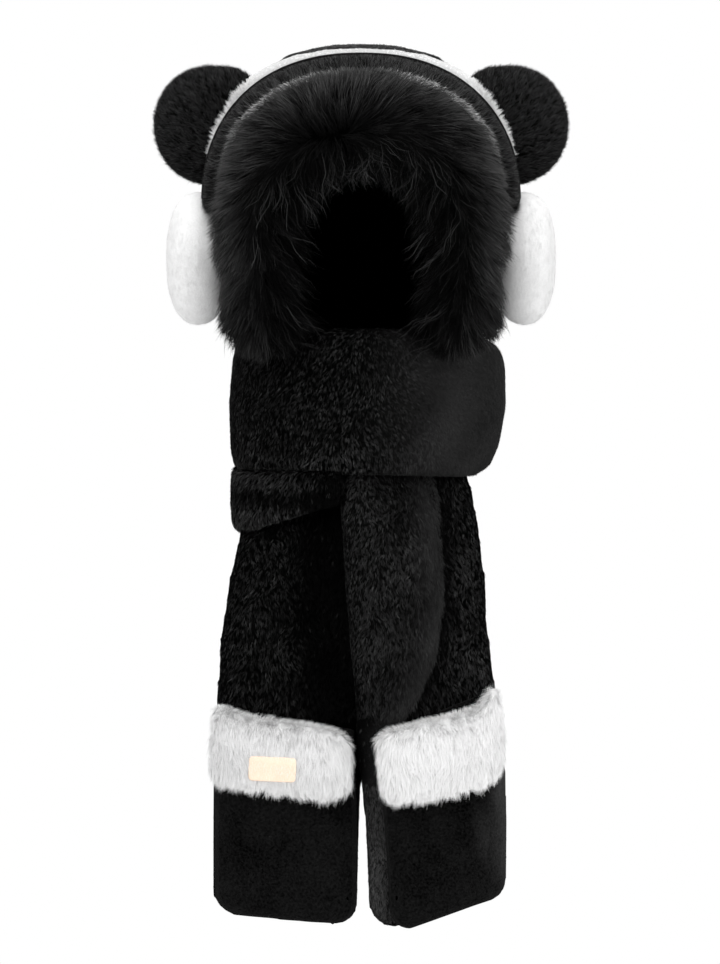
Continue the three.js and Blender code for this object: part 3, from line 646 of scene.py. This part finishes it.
strip_rng = np.random.default_rng(31)
# Painted shade: the strip's ground is darker on top, holding down the strong light from above, and paler
# towards the sides
white_strip = soft_piece(
    "white_strip", WHITE_GROUND, "white_plush", voxel=4, draw_in=1.0, fill=0.6, moved=tapered,
    tone=lambda points: ramp(np.abs(points[:, 0]), 0, 100),
)
strip_tufts = combed(white_strip, strip_rng, STRIP_TUFTS, outward_comb, band_share, stray=0.3)
strip_edge = np.clip((strip_tufts[1] * outward_comb(strip_tufts[0])).sum(axis=1), 0, 1)
strip_turn = round_brow(strip_tufts[0])[0]
strip_open = ramp(strip_turn, *STRIP_OPENS)
strip_length = (1.5 + 7.5 * strip_open) * strip_rng.uniform(0.6, 1.15, STRIP_TUFTS)
strip_stands = strip_edge * strip_open
pile(
    "white_strip", WHITE_PLUSH, "white_plush", strip_rng, strip_tufts, hairs=15, length=strip_length,
    spread=2.3, gather=0.95, rise=78 - 68 * strip_stands, lean=86 - 70 * strip_stands, sag=0.0,
    width=0.4, tone=0.6 - 0.5 * ramp(strip_turn, *STRIP_DARKENS), vary=1.5, mixed=0.2,
)

for side_name, turn_back in (("right", 0), ("left", 180)):
    seam_turns = np.abs(turn_back - np.linspace(*STRIP_SEAM_TURNS, 12))
    seam_line = arch_points(STRIP_SEAM, seam_turns)
    seam = round_cord(f"white_strip_seam_{side_name}", seam_line, STRIP_SEAM_RADIUS, 6)
    dress(seam, WHITE_GROUND, "white_plush")

# Ears
# Two round stuffed ears of short black plush are sewn to the hood behind the white strip. Their pile
# fans out from the sewn lower corner.

EAR_BASE = (98, -17, -112)
EAR_MIDDLE_Z = -64
EAR_TALLER = 0.035
EAR_CORNER_RISE = 6


def shifted(points, across, up=0.0):
    """Points shifted sideways and up."""
    return points + ways(len(points), across, up=up)


def full_corner(points):
    """The ear's upper edge runs down to the white strip in a full curve."""
    x, _, z = points.T
    corner = ramp(np.abs(x), 136, 106) * ramp(z, -60, -25)
    return shifted(points, 0.0, EAR_TALLER * (z - EAR_MIDDLE_Z) + EAR_CORNER_RISE * corner)


for side, node in ((-1, "ear_left"), (1, "ear_right")):
    ear_rng = np.random.default_rng(41 + side)
    base = np.array(EAR_BASE) * (side, 1, 1)
    ear = soft_piece(
        node, BLACK_GROUND, "black_plush", voxel=4, draw_in=-1.5, fill=0.8, moved=full_corner
    )
    ear_tufts = combed(ear, ear_rng, 9000, lambda points, up: unit(points - base), stray=0.5)
    # The pile lies flat round the ear's edge
    ear_edge = ramp(np.abs(ear_tufts[1][:, 1]), 0.42, 0.07)
    pile(
        node, BLACK_PLUSH, "black_plush", ear_rng, ear_tufts, length=8.5 - 3.5 * ear_edge, spread=1.5,
        gather=0.6, rise=48 + 28 * ear_edge, sag=0.05, width=0.45, tone=0.49, vary=1.2, mixed=0.14,
    )

# Ear muffs
# Two puffy pads of white plush sit over the wearer's ears, below the ends of the headband. They are
# full and smooth, with a fine pile brushed down.


def down_comb(points, up):
    return ways(len(points))


# side, name, brightness; the right muff is painted darker than the left to offset the stronger light that
# falls on it
for side, side_name, bright in ((-1, "left", 0.69), (1, "right", 0.64)):
    muff_cloth = cloth_material(
        f"muff_ground_{side_name}", grey(bright), grey(bright + 0.07), patches=40, grain=420, depth=0.5,
        specular=0.05,
    )
    muff_hair = hair_material(
        f"muff_pile_{side_name}", root=bright, tip=bright + 0.05, pale=bright + 0.11, fade=1,
        roughness=0.8, specular=0.05,
    )
    muff_rng = np.random.default_rng(61 + side)
    node = f"ear_muff_{side_name}"
    muff = soft_piece(node, muff_cloth, "white_plush", voxel=4, draw_in=-1.0, ease=14, fill=0.85)
    muff_tufts = combed(muff, muff_rng, 2400, down_comb, stray=0.3)
    pile(
        node, muff_hair, "white_plush", muff_rng, muff_tufts, hairs=5, length=6, spread=3.0, gather=0.1,
        rise=74, lean=88, sag=0.05, width=0.22, tone=0.5, vary=0.5, mixed=0.1, even=0.5,
    )

# Fur trim
# A thick roll of long black fur frames the face. Its hair parts along a line round the opening: the
# outer half lies smoothly outward, and the inner half hangs loosely over the opening.

# One half of the parting, across and down, from its lower end to the top of the opening
FUR_LINE = [(88, 274), (95, 226), (98, 176), (88, 120), (50, 84), (0, 75)]
FUR_MIDDLE_Y = -146
FUR_CORE = {"inward": 22, "outward": 30, "outward_top": 44, "front": 20, "back": 12}
CORE_STATIONS = 90
CORE_SIDES = 16
# One half of the fur's outer edge, seen from the front, and the height of its middle
FUR_EDGE = [
    (60, -284), (96, -293), (121, -280), (134, -259), (134, -240), (132, -216), (138, -200), (143, -182),
    (144, -160), (139, -131.5), (133, -102), (122.4, -69), (103, -47), (71.6, -26.5), (36.4, -15.5),
    (0, -12.5),
]
FUR_EDGE_Z = -150
OPENING = {"x": 1, "z": -198, "half_width": 49, "half_height": 80, "square": 2.6}
# Outside the parting the fur streams from here, sinking as it goes, and straight up at the top
FUR_SOURCE = (-22, 0, -110)
STREAM_HALF = 90
SHORTEST_FUR = 6


def smooth_line(knots, cuts=40, steps=400):
    """A smooth line through knots, cut into steps of even length."""
    ends = np.concatenate([[2 * knots[0] - knots[1]], knots, [2 * knots[-1] - knots[-2]]])
    part = np.linspace(0, 1, cuts, endpoint=False)[:, None]
    runs = []
    for knot in range(len(knots) - 1):
        a, b, c, d = ends[knot : knot + 4]
        bow = (2 * a - 5 * b + 4 * c - d) * part**2 + (3 * b - a - 3 * c + d) * part**3
        runs.append((2 * b + (c - a) * part + bow) / 2)
    line = np.concatenate(runs + [knots[-1:]])
    gone = np.concatenate([[0], np.cumsum(np.linalg.norm(np.diff(line, axis=0), axis=1))])
    even = np.linspace(0, gone[-1], steps)
    return np.stack([np.interp(even, gone, column) for column in line.T], axis=1)


fur_knots = [(-across, FUR_MIDDLE_Y, -down) for across, down in FUR_LINE]
fur_knots += [(across, FUR_MIDDLE_Y, -down) for across, down in FUR_LINE[-2::-1]]
fur_line = smooth_line(np.array(fur_knots, float))


def fur_spots(place, angle):
    """Points of the roll's core, the directions out of it, away from the opening and along it.

    place runs from 0 to 1 along the roll, and angle is 0 towards the opening, 90 degrees in front
    and 180 away from the opening."""
    step = place * (len(fur_line) - 1)
    whole = np.arange(len(fur_line))
    spots = np.stack([np.interp(step, whole, column) for column in fur_line.T], axis=1)
    tangents = unit(np.gradient(fur_line, axis=0))
    along = np.stack([np.interp(step, whole, column) for column in tangents.T], axis=1)
    away = unit(ways(len(along), -along[:, 2], 0.0, along[:, 0]))
    toward = np.cos(angle)
    front = np.sin(angle)
    level = np.abs(along[:, 0])
    outward = FUR_CORE["outward"] * (1 - level) + FUR_CORE["outward_top"] * level
    wide = np.where(toward > 0, FUR_CORE["inward"], outward)
    deep = np.where(front > 0, FUR_CORE["front"], FUR_CORE["back"])
    # The core's ends are round
    size = np.sqrt(np.clip(np.minimum(place, 1 - place) / 0.05, 0.02, 1))
    core = spots - away * (toward * wide * size)[:, None]
    core[:, 1] -= front * deep * size
    out = -away * (toward / wide)[:, None]
    out[:, 1] -= front / deep
    return core, unit(out), away, along


core_place = np.repeat(np.linspace(0, 1, CORE_STATIONS), CORE_SIDES)
core_angle = np.tile(np.arange(CORE_SIDES) / CORE_SIDES * 2 * math.pi, CORE_STATIONS)
core_points = fur_spots(core_place, core_angle)[0]
fur_core = tube("fur_trim_roll", core_points.reshape(CORE_STATIONS, CORE_SIDES, 3))
FUR_GROUND = cloth_material(
    "fur_ground", grey(0.0002), grey(0.0005), patches=80, grain=500, depth=1.0, roughness=0.95
)
OUTER_FUR = hair_material(
    "black_fur_outer", root=0.0004, tip=0.0018, pale=0.10, fade=1.8, roughness=0.5, specular=0.03
)
# Painted shade: the inner half's hair is darker than the outer half's, as it faces down and away from the
# light
INNER_FUR = hair_material(
    "black_fur_inner", root=0.0002, tip=0.0005, pale=0.12, fade=1.0, roughness=0.5, specular=0.02
)
dress(fur_core, FUR_GROUND, "black_fur", "fur_trim", fill=0.6)


def edge_at(turn):
    """How far the fur's outer edge lies from its middle, by the turn up from straight across."""
    across, up = (np.array(FUR_EDGE) - (0, FUR_EDGE_Z)).T
    return np.interp(turn, np.degrees(np.arctan2(up, across)), np.hypot(across, up))


def edge_distance(points):
    """How far out points lie, in shares of the way from the fur's middle to its outer edge."""
    x, _, z = points.T
    turn = np.degrees(np.arctan2(z - FUR_EDGE_Z, np.abs(x)))
    return np.hypot(x, z - FUR_EDGE_Z) / edge_at(turn)


def opening_distance(points):
    """How far out points lie, in shares of the way from the opening's middle to its edge."""
    across = np.abs(points[:, 0] - OPENING["x"]) / OPENING["half_width"]
    up = np.abs(points[:, 2] - OPENING["z"]) / OPENING["half_height"]
    return (across ** OPENING["square"] + up ** OPENING["square"]) ** (1 / OPENING["square"])


def reach_of(spots, heading, beyond, farthest):
    """How far hair reaches from spots, along heading, until beyond says that it is past an edge."""
    reach = np.full(len(spots), float(farthest))
    for way in np.arange(farthest, SHORTEST_FUR, -2.0):
        reach = np.where(beyond(spots + heading * way), way, reach)
    return reach


def fur_hair(name, seed, tufts, hairs, angles, farthest, wave, width, loose, mixed, tone, lit, bends):
    """Fur from one part of the core, given by a range of angles round it.

    Each tuft rises at its root and lies over, as far as the outer edge or the opening. loose is how
    far tufts stray, and mixed how uneven a tuft's hairs are. tone gets the hairs' tips and answers
    how pale they are, and lit gets the tufts' roots and answers the share of wisps painted bright as
    highlights."""
    rng = np.random.default_rng(seed)
    place = rng.uniform(0, 1, tufts)
    angle = np.radians(rng.uniform(*angles, tufts))
    spots, out, away, along = fur_spots(place, angle)
    outside = (0.5 + 0.5 * np.tanh(-np.cos(angle) / 0.22))[:, None]
    wisp = rng.random(tufts) < lit(spots)
    down = np.array([0, 0, -1.0])
    stream = (spots - FUR_SOURCE) * (1, 0, 1)
    stream[:, 0] *= 0.35 + 0.65 * ramp(np.abs(stream[:, 0]), 0, STREAM_HALF)
    outer_way = unit(stream) + 0.6 * down
    inner_way = -0.38 * away + (0.9 - 0.5 * np.abs(along[:, 0:1])) * down
    heading = unit(unit(outer_way) * outside + unit(inner_way) * (1 - outside))
    swirl = loose * wander(spots, 45, seed) + 0.6 * loose * wander(spots, 14, seed + 3)
    swirl = swirl + (0.5 * loose + 0.7 * wisp) * rng.normal(0, 0.6, tufts)
    middle = np.exp(-(((spots[:, 0] - FUR_SOURCE[0]) / 30) ** 2))
    swirl = swirl + 0.2 * middle * rng.normal(0, 0.6, tufts)
    heading = unit(heading + np.cross(heading, [0, 1, 0]) * swirl[:, None])
    outer_reach = reach_of(spots, heading, lambda ends: edge_distance(ends) > 1, farthest)
    inner_reach = reach_of(spots, heading, lambda ends: opening_distance(ends) < 1, farthest)
    reach = np.minimum(outer_reach, inner_reach) * (1 + 0.25 * wisp)
    each = np.repeat(np.arange(tufts), hairs)
    count = len(each)
    # A few hairs end in a thin haze beyond the edge, low at the sides
    haze = (rng.random(count) < 0.07) * ramp(spots[each, 2], -140, -170)
    size = reach[each] * (rng.uniform(0.62, 1.02, count) + 0.16 * haze)
    up = out[each]
    across = unit(np.cross(heading[each], up))
    offset = 2.0 * rng.normal(0, 1, (count, 1)) * across
    offset = offset + 2.0 * rng.normal(0, 1, (count, 1)) * heading[each]
    way = heading[each] + 0.1 * rng.normal(0, 1, (count, 1)) * across
    curl = rng.uniform(0, 2 * math.pi, tufts)[each] + rng.normal(0, 0.8, count)
    lift = np.clip(np.sin(angle), 0, 1)[each]
    path = [spots[each] + offset - up]
    for bend in range(bends):
        part = (bend + 0.5) / bends
        step = way + up * (0.7 * (1 - part) ** 2 * (0.4 + 0.6 * lift))[:, None]
        step = step + across * (wave * (0.3 + part) * np.sin(curl + 1.7 * bends * part))[:, None]
        step[:, 1] += 0.7 * part**2 * lift
        path.append(path[-1] + step * size[:, None] / bends - offset * 0.3 / bends)
    facing = unit(up + 0.5 * rng.normal(0, 1, (count, 1)) * across)
    own = tone(path[-1]) + rng.normal(0, 0.1, tufts)[each] + rng.normal(0, mixed, count)
    # Painted highlight: some hairs of the wisps are made pale
    bright = wisp[each] & (rng.random(count) < 0.4)
    own = np.where(bright, rng.uniform(0.45, 0.95, count), own)
    return ribbons(name, path, facing, np.where(bright, 0.3, width), own)


def outer_tone(tips):
    """The outer half is painted paler towards its edge, a highlight from the light its grazing hair
    catches, and painted darker where it hangs, as shade.
    """
    near_edge = ramp(edge_distance(tips), 0.7, 0.98) ** 1.4
    return 0.16 + 0.61 * near_edge * (1 - 0.6 * ramp(tips[:, 2], -225, -270))


def inner_wisps(roots):
    """Wisps painted bright, as highlights, are many above the opening and few beside it."""
    return 0.03 + 0.12 * ramp(roots[:, 2], -175, -135)


fur_outer = fur_hair(
    "fur_trim_outer_hair", seed=71, tufts=2800, hairs=9, angles=(86, 212), farthest=34, wave=0.1,
    width=0.45, loose=0.34, mixed=0.17, tone=outer_tone, lit=lambda roots: 0.02, bends=4,
)
dress(fur_outer, OUTER_FUR, "black_fur")
fur_inner = fur_hair(
    "fur_trim_inner_hair", seed=72, tufts=1500, hairs=8, angles=(-45, 96), farthest=44, wave=0.4,
    width=0.36, loose=0.5, mixed=0.2, tone=lambda tips: 0.03, lit=inner_wisps, bends=5,
)
dress(fur_inner, INNER_FUR, "black_fur")

# Hair tips along the upper outer edge catch the light, most of all to both sides of the top
RIM_HAIR = hair_material(
    "fur_rim_hair", root=0.01, tip=0.02, pale=0.95, fade=0.6, roughness=0.5, specular=0.2
)
RIM_HAIRS = 4400
RIM_ARC = (14, 166)
RIM_Y = -138
RIM_BRIGHTEST = 38
rim_rng = np.random.default_rng(73)
rim_degrees = rim_rng.uniform(*RIM_ARC, RIM_HAIRS)
rim_beside = np.abs(rim_degrees - 90)
rim_cos, rim_sin = np.cos(np.radians(rim_degrees)), np.sin(np.radians(rim_degrees))
rim_far = rim_rng.uniform(0.95, 0.985, RIM_HAIRS) * edge_at(90 - rim_beside)
rim_y = RIM_Y + rim_rng.uniform(-4, 3, RIM_HAIRS)
rim_root = ways(RIM_HAIRS, rim_cos * rim_far, rim_y, FUR_EDGE_Z + rim_sin * rim_far)
# Some are fine and long, and reach over the headband
rim_stray = rim_rng.random(RIM_HAIRS) < 0.14
rim_slant = (-1.3 + 0.8 * rim_stray) * rim_cos + rim_rng.normal(0, 0.4, RIM_HAIRS)
rim_side = ways(RIM_HAIRS, -rim_sin, 0.0, rim_cos)
rim_way = unit(ways(RIM_HAIRS, rim_cos, 0.0, rim_sin) + rim_side * rim_slant[:, None])
rim_length = rim_rng.uniform(2.5, 7, (RIM_HAIRS, 1)) * (1 + 1.3 * rim_stray[:, None])
rim_bend = rim_root + rim_way * rim_length * 0.5
rim_tip = rim_bend + (rim_way + (0, 0.3, -0.1)) * rim_length * 0.5
rim_lit = np.clip(1.35 - np.abs(rim_beside - RIM_BRIGHTEST) / 36, 0.3, 1) * (1 - 0.6 * rim_stray)
rim_tone = rim_lit * (0.35 + 0.65 * rim_rng.random(RIM_HAIRS))
rim_facing = ways(RIM_HAIRS, back=-1.0, up=0.0)
fur_rim = ribbons(
    "fur_trim_rim_hair", [rim_root, rim_bend, rim_tip], rim_facing, 0.48 - 0.2 * rim_stray, rim_tone
)
dress(fur_rim, RIM_HAIR, "black_fur")

# Neck wrap
# The scarf's wide upper turn of black plush goes round the neck, a padded band with rounded edges.
# The shorter turn below it shows at the left.

NECK_MIDDLE = (6.5, -35, 0)
# How far the wrap's upper left and lower right corners are rounded off, by height
WRAP_LEFT_CORNER = ((-320, -300, -275, -262), (0, 1.5, 3, 4))
WRAP_RIGHT_CORNER = ((-400, -393, -377, -358, -345, -320), (6, 8, 7, 4, 1.5, 0))
# The crease between the two folds of the lower turn, along which shade is painted: how far down at a
# place across, and its slope
UNDER_CREASE = {"down": 418, "across": -80, "slope": 0.08}
OUTLINE_STEP = 5
OUTLINE_REACH = 11


def settled(skin, tufts):
    """Tufts combed straight down beside the outline that a skin shows from the front, with how near
    they stand to its sides and foot, and to its foot alone, up to 1."""
    points = skin_arrays(skin)[0]
    spots, up, flow = tufts
    near = []
    for level, place, sign in ((2, 0, -1), (2, 0, 1), (0, 2, -1)):
        lowest = points[:, level].min()
        step = ((points[:, level] - lowest) / OUTLINE_STEP).astype(int)
        edge = np.full(step.max() + 1, -np.inf)
        np.maximum.at(edge, step, sign * points[:, place])
        here = (spots[:, level] - lowest) / OUTLINE_STEP - 0.5
        away = np.interp(here, np.arange(len(edge)), edge) - sign * spots[:, place]
        near.append(np.clip(1.15 - away / OUTLINE_REACH, 0, 1))
    most = np.max(near, axis=0)
    down = unit(ways(len(spots)) + up[:, 2:3] * up)
    return (spots, up, unit(flow * (1 - most[:, None]) + down * most[:, None])), most, near[2]


def wrap_share(points, facing):
    outside = (unit((points - NECK_MIDDLE) * (1, 1, 0)) * facing).sum(axis=1)
    front = 1 + 0.5 * ramp(points[:, 0], 0, 60)
    return np.where(outside > -0.35, np.where(points[:, 1] < -20, front, 0.5), 0.0)


def wrap_comb(points, up):
    level = -0.1 + 1.1 * ramp(points[:, 0], -11, 99) + 0.45 * wander(points, 90, 2.0)
    return ways(len(points), level, 0.0, -1 + 0.5 * ramp(points[:, 0], 0, 110))


def rounded_wrap(points):
    x, _, z = points.T
    left = np.interp(z, *WRAP_LEFT_CORNER) * ramp(x, -60, -120)
    return shifted(points, left - np.interp(z, *WRAP_RIGHT_CORNER) * ramp(x, 60, 120))


def wrap_smooth_sheen(points):
    """The pile lies flatter and smoother towards the right in front, and is painted paler there, as
    sheen.
    """
    return ramp(points[:, 0], -12, 83) * ramp(points[:, 1], 40, -20)


wrap_rng = np.random.default_rng(81)
neck_wrap = soft_piece(
    "neck_wrap", BLACK_GROUND, "black_plush", voxel=5, draw_in=-1.2, fill=0.55, moved=rounded_wrap,
    tone=lambda points: 0.36 * wrap_smooth_sheen(points),
)
neck_tufts = combed(neck_wrap, wrap_rng, 22000, wrap_comb, wrap_share)
neck_tufts, neck_near, _ = settled(neck_wrap, neck_tufts)
neck_smooth_sheen = wrap_smooth_sheen(neck_tufts[0])
neck_flat = np.maximum(neck_smooth_sheen, neck_near)
# Painted light: the pile is paler towards the right as sheen, and at the lower left where it is lit
neck_low_lit = ramp(neck_tufts[0][:, 2], -330, -390) * (1 - neck_smooth_sheen)
neck_tone = 0.24 + 0.15 * neck_low_lit + 0.15 * neck_smooth_sheen + 0.07 * wander(neck_tufts[0], 110, 4.0)
pile(
    "neck_wrap", BLACK_PLUSH, "black_plush", wrap_rng, neck_tufts, length=6.5 - 1.5 * neck_flat,
    spread=1.4, gather=0.75 - 0.6 * neck_smooth_sheen, rise=44 + 32 * neck_flat, lean=84 + 5 * neck_smooth_sheen,
    width=0.7, tone=neck_tone, vary=1.7 - 1.6 * neck_smooth_sheen, even=0.1 + 0.7 * neck_smooth_sheen,
)

under_wrap = soft_piece("under_wrap", BLACK_GROUND, "black_plush", voxel=5, draw_in=-1.2, fill=0.55)
under_tufts = combed(under_wrap, wrap_rng, 4200, down_comb, wrap_share, stray=0.4)
under_tufts, under_flat, _ = settled(under_wrap, under_tufts)
under_x, _, under_z = under_tufts[0].T
crease_down = UNDER_CREASE["down"] + UNDER_CREASE["slope"] * (under_x - UNDER_CREASE["across"])
# Painted shade: the pile is darker along the crease, and towards the right where the right end shades it
under_tone = 0.52 * ramp(np.abs(-under_z - crease_down), 0, 14) - 0.5 * ramp(under_x, -70, -30)
pile(
    "under_wrap", BLACK_PLUSH, "black_plush", wrap_rng, under_tufts, length=8.5 - 3.5 * under_flat,
    spread=1.5, gather=0.9, rise=40 + 30 * under_flat, width=0.7, tone=under_tone, vary=2.0,
)

# Scarf ends
# Two wide strips of black plush hang from the neck, the right one over the left. Their short pile
# is matted into small tufts that lie downward.

POCKET_TOP = -628
# The plush left bare beside the right pocket, from and to, and how far below the mouth it begins
BARE_PLUSH = (-25, 40)
BARE_BELOW = 60
# How far across the right end's rolled lobe reaches, and how far the ends bulge, by the way down
LOBE_SIDE = ((372, 420, 516, 572, 612, 644, 700), (66, 74, 79, 71, 53, 30, 24))
LEFT_BULGE = ((465, 495, 560, 595), (0, 3, 3, 0))
RIGHT_BULGE = ((610, 665, 690, 716, 754, 801, 830), (0, 5, 2, 1.2, 1, 0.5, 0))


def beside_pocket(points):
    x, _, z = points.T
    return (x > BARE_PLUSH[0]) & (x < BARE_PLUSH[1]) & (z < POCKET_TOP - BARE_BELOW)


def end_share(points, facing):
    front = facing[:, 1] < 0.3
    behind = (points[:, 2] < POCKET_TOP) & front
    share = np.where(behind, 0.1, np.where(front, 1.0, 0.35))
    return np.where(beside_pocket(points) & front, 1.8, share)


def end_comb(points, up):
    return ways(len(points), 0.35 * wander(points, 60, 5.0) + 0.3 * wander(points, 25, 7.0))


def left_looks(points):
    """Tone and smoothness: the left end is painted dark, as shade, where it goes under the right end."""
    return 0.29 - 0.4 * ramp(points[:, 0], -68, -42), np.zeros(len(points))


def right_looks(points):
    """Tone and smoothness: the lobe is smooth at its right and painted pale there, a highlight on its
    rolled edge, with painted shade in the hollow beside it.
    """
    beside = points[:, 0] - np.interp(-points[:, 2], *LOBE_SIDE)
    to_edge = ramp(beside, -34, -4)
    tone = np.where(beside < 0, 0.38 + 0.07 * to_edge, 0.36 * ramp(beside, 0, 12))
    bare = beside_pocket(points)
    return np.where(bare, 0.68, tone), np.where(bare, 0.4, 0.25 + 0.7 * to_edge) * (beside < 0)


def lower_corner(points):
    """How far points lie into the left end's rounded lower corner, up to 1."""
    return ramp(points[:, 0], -116, -131) * ramp(points[:, 2], -797, -812)


def left_shape(points):
    """The left end's top rises right up under the wrap, and its side bulges below that."""
    x, _, z = points.T
    bulge = np.interp(-z, *LEFT_BULGE) * ramp(x, -60, -110)
    return shifted(points, 3 * lower_corner(points) - bulge, 4 * ramp(z, -440, -415))


def right_shape(points):
    """The right end's bare plush side comes close to the left pocket, and its corner is round."""
    x, _, z = points.T
    bulge = np.interp(-z, *RIGHT_BULGE) * ramp(x, 45, 25)
    return shifted(points, -bulge, 4.5 * ramp(x, 46, 26) * ramp(z, -790, -820))


# node, tufts, looks, shape
ENDS = [
    ("scarf_end_left", 14000, left_looks, left_shape),
    ("scarf_end_right", 17500, right_looks, right_shape),
]
for node, tufts, looks, shape in ENDS:
    end_rng = np.random.default_rng(90 + tufts)
    # The ground in front takes the painted highlight and shade that looks gives
    end = soft_piece(
        node, BLACK_GROUND, "black_plush", voxel=4.5, draw_in=-0.5, ease=3, fill=0.45, moved=shape,
        tone=lambda points: np.multiply(*looks(points)) * (points[:, 1] < points[:, 1].mean()),
    )
    end_tufts = combed(end, end_rng, tufts, end_comb, end_share)
    front = end_tufts[1][:, 1] < 0.3
    covered = (end_tufts[0][:, 2] < POCKET_TOP) & ~beside_pocket(end_tufts[0]) & front
    end_tufts, near, foot = settled(end, end_tufts)
    flat = np.maximum(near, covered)
    end_tone, end_smooth = looks(end_tufts[0])
    end_tone = np.where(front, end_tone, 0.28) + 0.09 * wander(end_tufts[0], 105, 6.0)
    end_smooth = end_smooth * front
    end_rise = 44 + 32 * np.maximum(flat, end_smooth)
    pile(
        node, BLACK_PLUSH, "black_plush", end_rng, end_tufts, length=7.5 - 3.5 * flat - 3 * foot,
        spread=1.5, gather=0.8 - 0.5 * end_smooth, rise=end_rise, lean=86, width=0.7, tone=end_tone,
        vary=1.5 - 1.2 * end_smooth, even=0.1 + 0.7 * end_smooth,
    )

# Pockets
# Each end finishes in a hand pocket of smooth short black velvet, sewn on along its sides and
# bottom and open at the top behind the cuff.

BLACK_VELVET = cloth_material(
    "black_velvet", grey(0.0001), grey(0.0082), patches=30, grain=400, depth=2.8, roughness=0.75,
    sheen=0.02,
)
# The painted highlight along a soft fold of the right pocket: its place across at a height, and its slope
POCKET_FOLD_HIGHLIGHT = {"x": 129, "z": -700, "slope": 0.23, "breadth": 3}
# The painted highlight towards the right pocket's right side: its place across and its breadth
POCKET_SIDE_HIGHLIGHT = {"x": 138, "breadth": 18}


def pocket_tone(points):
    """The right pocket is painted paler towards its right side, as a highlight, with a painted highlight
    along a soft slanting fold there.
    """
    x, _, z = points.T
    side = (x - POCKET_SIDE_HIGHLIGHT["x"]) / POCKET_SIDE_HIGHLIGHT["breadth"]
    fold = x - POCKET_FOLD_HIGHLIGHT["x"] - POCKET_FOLD_HIGHLIGHT["slope"] * (z - POCKET_FOLD_HIGHLIGHT["z"])
    fold = 0.18 * np.exp(-((fold / POCKET_FOLD_HIGHLIGHT["breadth"]) ** 2)) * ramp(z, -790, -750)
    return 0.41 * np.exp(-(side**2)) * ramp(z, -810, -770) + fold


def pocket_shape(points):
    """The mouth's outer corners tuck in behind the cuffs, and the lower left corner is round."""
    x, _, z = points.T
    inward = 12 * np.sign(x) * ramp(np.abs(x), 112, 132) * ramp(z, -670, -645)
    return shifted(points, 3 * lower_corner(points) - inward)


for node in ("pocket_left", "pocket_right"):
    soft_piece(
        node, BLACK_VELVET, "black_velvet", voxel=1.3, ease=6, keep=0.08, fill=0.3, moved=pocket_shape,
        tone=pocket_tone,
    )

# Cuffs
# A thick band of long white plush is sewn round the front of each pocket's mouth. Its tufts lie
# mostly downward and stand out past both edges.

# Across each cuff: how its upper and lower edges rise and sink, and the heights of its middle
# Painted shade: the left cuff's root and tip greys are darker than the right's, as the light falls from
# the right
CUFFS = {
    "left": {
        "seed": 101, "root": 0.66, "tip": 0.85,
        "across": (-138, -129, -121, -104, -86, -69, -52, -35, -18, -10),
        "top": (4, 0, -3.8, -6, -4.2, -3.8, -1.9, -0.9, -3.5, -6),
        "bottom": (0, 2, 1.9, 0.5, 0.9, 1.5, 1, 4, 7, 8),
        "middle": ((-130, -18), (-654, -674)),
    },
    "right": {
        "seed": 102, "root": 0.73, "tip": 0.92,
        "across": (10, 19, 28, 36, 45, 53, 62, 70, 87, 104, 113, 122, 130),
        "top": (8, 7, 6.5, 3.8, 0.9, -0.9, -2.8, -5.7, -9.5, -13, -12, -2.2, 5),
        "bottom": (6, 5, 5.5, 4.8, 2, 1, -1.5, -3.8, -5.7, -6.6, -7.3, -3.8, -3),
        "middle": ((19, 122), (-672, -645)),
    },
}
CUFF_TUFTS = 2400
CUFF_HALF_HEIGHT = 30
# Painted shade: the cuffs' ground is a darker grey than their pile, holding down the light on their upper
# edges
CUFF_GROUND = cloth_material(
    "white_cuff_ground", grey(0.6), grey(0.7), patches=50, grain=420, depth=0.8, specular=0.05
)


def cuff_share(points, facing):
    return np.where((facing[:, 1] < 0.4) | (facing[:, 2] > 0.2), 1.0, 0.15)


def cuff_comb(points, up):
    return ways(len(points), 0.4 * wander(points, 80, 8.0) + 0.12 * wander(points, 25, 3.0))


def cuff_shape(points, cuff):
    x, _, z = points.T
    above = np.clip((z - np.interp(x, *cuff["middle"])) / CUFF_HALF_HEIGHT, -1, 1)
    rise = np.interp(x, cuff["across"], cuff["top"]) * np.maximum(above, 0)
    rise += np.interp(x, cuff["across"], cuff["bottom"]) * np.maximum(-above, 0)
    return shifted(points, -4 * ramp(x, -105, -130), rise)


for side_name, looks in CUFFS.items():
    cuff_hair = hair_material(
        f"white_cuff_pile_{side_name}", looks["root"], looks["tip"], pale=1.0, fade=1, roughness=0.65,
        specular=0.1,
    )
    cuff_rng = np.random.default_rng(looks["seed"])
    node = f"cuff_{side_name}"
    cuff = soft_piece(
        node, CUFF_GROUND, "white_plush", voxel=4, draw_in=2.5, fill=0.7,
        moved=lambda points: cuff_shape(points, looks),
    )
    cuff_tufts = combed(cuff, cuff_rng, CUFF_TUFTS, cuff_comb, cuff_share, stray=0.12)
    # The pile stands up along the upper edge and is painted darker there, as shade, and hangs in points
    # along the lower one
    standing = ramp(cuff_tufts[1][:, 2], 0.25, 0.75)
    hanging = np.clip(-cuff_tufts[1][:, 2] * 2 - 0.3, 0, 1)
    uneven = 1 + 0.2 * hanging * cuff_rng.normal(0, 1, CUFF_TUFTS)
    pile(
        node, cuff_hair, "white_plush", cuff_rng, cuff_tufts, hairs=13,
        length=(15 - 6.5 * standing) * uneven, spread=3.2, gather=0.1 + 0.6 * hanging,
        rise=60 - 30 * standing, lean=87 - 45 * standing, width=0.3, tone=0.55 - 0.2 * standing,
        vary=0.5, mixed=0.2, even=0.1, bends=2,
    )

# Patch
# A small label of smooth peach leather with rounded corners is glued to the left cuff. It is bare.

PEACH_DARK = (0.80, 0.60, 0.46, 1)
PEACH_LIGHT = (0.88, 0.70, 0.56, 1)
PEACH_LEATHER = cloth_material(
    "peach_leather", PEACH_DARK, PEACH_LIGHT, patches=120, grain=900, depth=0.1, roughness=0.5,
    specular=0.15,
)
soft_piece("patch", PEACH_LEATHER, "peach_leather", voxel=0.8, ease=2)
